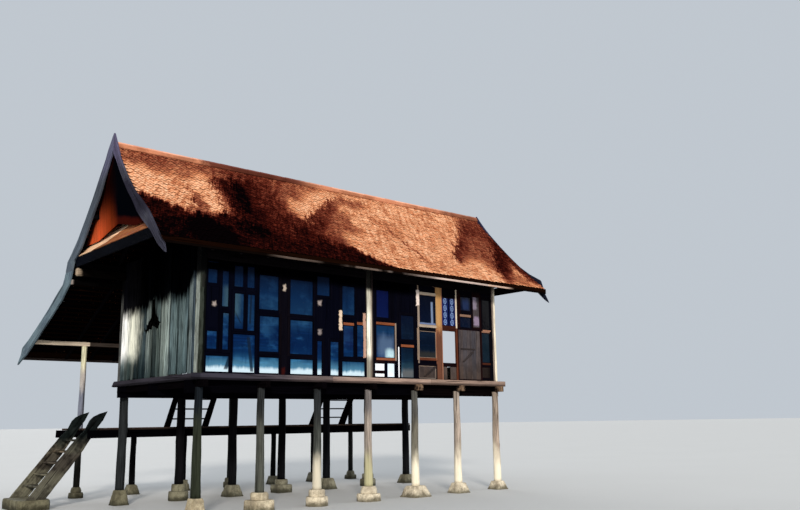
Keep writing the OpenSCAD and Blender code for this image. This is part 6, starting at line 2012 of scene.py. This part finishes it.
def lapped(b, xa, za, xb, zb, gap, rows, mirror, pts, lift=1):
    """Boards laid along Y on a sloping sheet, each lapping the one below."""
    L = math.hypot(xb - xa, zb - za)
    tx, tz = (xb - xa) / L, (zb - za) / L
    nx, nz = tz, -tx
    w = L / rows
    for r in range(rows):
        u0, u1 = r * w, min(L, (r + 1) * w + .012)
        v = np.concatenate([[0], np.linspace(.06, .94, 3), [1]])
        m = 12
        top, bot, lt, lb = [], [], [], []
        bow = [rnd(-.002, .002) for _ in range(m + 1)]
        for q in v:
            u = u0 + (u1 - u0) * q
            z = za + tz * u
            hy = gable_half(z, gap)
            prof = .018 - .010 * q
            row_t, row_b, l0, l1 = [], [], [], []
            for k in range(m + 1):
                y = RIDGE_Y - hy + 2 * hy * k / m
                a = prof - (.003 if q in (0.0, 1.0) else 0)
                # the outer face is the one with the smaller X on the left gable
                xo = xa + tx * u + nx * (.0125 - a * .5 - .004 + bow[k] * .4) - nx * a * .5 * 0
                zo = z + nz * (.0125 - a * .5)
                x_out, z_out = xa + tx * u + nx * (.0235 - a), z + nz * (.0235 - a)
                x_in, z_in = xa + tx * u + nx * .0235, z + nz * .0235
                if mirror:
                    x_out, x_in = XL + XR - x_out, XL + XR - x_in
                row_t.append((x_out, y, z_out))
                row_b.append((x_in, y, z_in))
                l0.append((y, (q - .5) * w, a))
                l1.append((y, (q - .5) * w, 0))
            top.append(row_t), bot.append(row_b), lt.append(l0), lb.append(l1)
        grid_solid(b, np.array(top), np.array(bot), np.array(lt), np.array(lb), (99, w / 2, .02), (rnd(0, 1), rnd(0, 1), pts(r)))


b = Build()
for mir in (False, True):
    lapped(b, XL + .005, 5.050, XL + .560, 5.680, .035, 5, mir, lambda r: .2 if r < 2 else .9)
b.make("gable_skirt_boards", MAT["skirt"], "pale_wood", ["gable_skirts"])
b = Build()

# the screens: upright boards on a sheet that leans out to the ridge, their
# feet cut to an open V
VEE = [(-9.0, 5.255), (-.761, 5.255), (0.0, 5.430), (1.011, 5.255), (9.0, 5.255)]
LEAN = unit((-.135, 0, 1.540))


def vee_at(d):
    return float(np.interp(d, [p[0] for p in VEE], [p[1] for p in VEE]))


for mir in (False, True):
    cuts = []
    for s0, s1, k in ((-1.645, -1.001, 5), (-1.001, -.899, 1), (-.899, .899, 13), (.899, 1.001, 1), (1.001, 1.645, 5)):
        cuts += [s0] + [s0 + (s1 - s0) * (q + rnd(-.18, .18)) / k for q in range(1, k)]
    cuts.append(1.645)
    for d, d_next in zip(cuts, cuts[1:]):
        w = d_next - d
        dm = d + w / 2

        def foot_of(v, dm=dm):
            return (vee_at(dm + v) + .0015 - 5.200) / LEAN[2]

        def head_of(v, dm=dm, w=w):
            a = abs(dm + v)
            z = roof_at(a + .024) - .093
            if max(0, abs(dm) - w / 2) < .034:
                z = min(z, RB_TOP - .155)
            if .90 < abs(dm) < 1.0:
                z = min(z, PUR_TOP - .094)
            return max((z - 5.200) / LEAN[2], foot_of(v) + .001)

        if head_of(0) - foot_of(0) > .02:
            # mirrored boards lean the other way at the right end
            t = LEAN if not mir else LEAN * (-1, 1, 1)
            p0 = np.array((XL + .152 + .0125, RIDGE_Y + dm, 5.200))
            nd = np.array((-LEAN[2], 0, LEAN[0]))
            if mir:
                p0[0] = XL + XR - p0[0]
                nd = nd * (-1, 1, 1)
            plank(b, p0, t, 1.5, (0, 1, 0), w, nd, .019, k=3, n=9, cup=rnd(-.001, .001), bow=.0015, ch=.003, gap=.0018, z0=foot_of, z1=head_of, rag0=.006, pt=rnd(.2, .8))
b.make("gable_screen_boards", MAT["screen"], "brown_wood", ["gable_screens"])

# the bands take the black end of the bargeboard paint, as painted shade
b = Build()
ya, yb_ = RIDGE_Y - run_at(5.020 + .090) + .015, RIDGE_Y - run_at(4.820 + .090) + .015
yc, yd = RIDGE_Y + 1.690, RIDGE_Y + run_at(5.020 + .090) - .015
for x0, x1 in ((XL, XL + .030), (XR - .030, XR)):
    prism(b, [(ya, 5.020), (yb_, 4.820), (yc, 4.820), (yd, 5.020)], "x", x0, x1, ch=.004, udir=(1, 0), pt=1.0)
b.make("gable_band_boards", MAT["barge"], "barge_wood", ["gable_bands"])


def eave_tone(m, x, y, z, col):
    n = m.noise(m.pos(), 2.0, 3.0)
    n2 = m.smooth(m.noise(m.vmul(m.pos(), (2.6, 1.0, 1.0)), 1.0, 2.0), 0.40, 0.60)
    lit = m.lin(m.add(x, m.mul(m.sub(n, .5), 1.0)), 4.3, 5.6, 0.0, 0.92)
    # painted sunlight, patchy in the middle and strong at the right; painted shadow at the left, and dark past the
    # gable
    lit = m.math("MAXIMUM", lit, m.mul(m.mul(m.smooth(x, 0.9, 1.4), m.sub(1.0, m.smooth(x, 2.0, 2.3))), 0.15))
    lit = m.math("MAXIMUM", lit, m.mul(m.mul(n2, m.smooth(x, 2.6, 3.1)), 0.20))
    lit = m.mul(lit, m.sub(1.0, m.smooth(x, 7.55, 7.9)))
    front = m.sub(1.0, m.smooth(y, 0, .1))
    k = m.mul(m.sub(1.0, lit), front)
    col = darker(m, col, k, (0.005, 0.004, 0.004, 1))
    under = m.mul(front, m.sub(1.0, m.smooth(z, 4.462, 4.478)))
    col = darker(m, col, m.mul(under, 0.8), (0.12, 0.10, 0.10, 1))
    return darker(m, col, m.mul(m.smooth(y, 6.3, 6.4), 0.9), (0.08, 0.08, 0.09, 1))


MAT["eave"] = wood("eave_batten", stops((0.0, srgb(150, 128, 118)), (1.0, srgb(216, 190, 176))), fibre=0.4, crack=0.5, vary=0.1, tone=eave_tone, gloss=0.0)
b = Build()
z = roof_at(RUN) - .090
x = XL
while x < XR - .01:
    x2 = min(XR, x + rnd(2.2, 3.4))
    if XR - x2 < .8:
        x2 = XR
    bar(b, (x, RIDGE_Y - RUN + .015, z - .020), (x2 - .002, RIDGE_Y - RUN + .015, z - .020), .029, .039, n=8, ch=.004, wob=.001, pt=.8)
    bar(b, (x, RIDGE_Y + RUN - .015, z - .020), (x2 - .002, RIDGE_Y + RUN - .015, z - .020), .029, .039, n=8, ch=.004, wob=.001, pt=.3)
    zv = ver_roof_at(6.480) - .060
    bar(b, (x, 6.465, zv - .030), (x2 - .002, 6.465, zv - .030), .029, .059, n=8, ch=.004, wob=.001, pt=.3)
    x = x2
b.make("eave_battens", MAT["eave"], "pale_wood", ["eave_boards"])
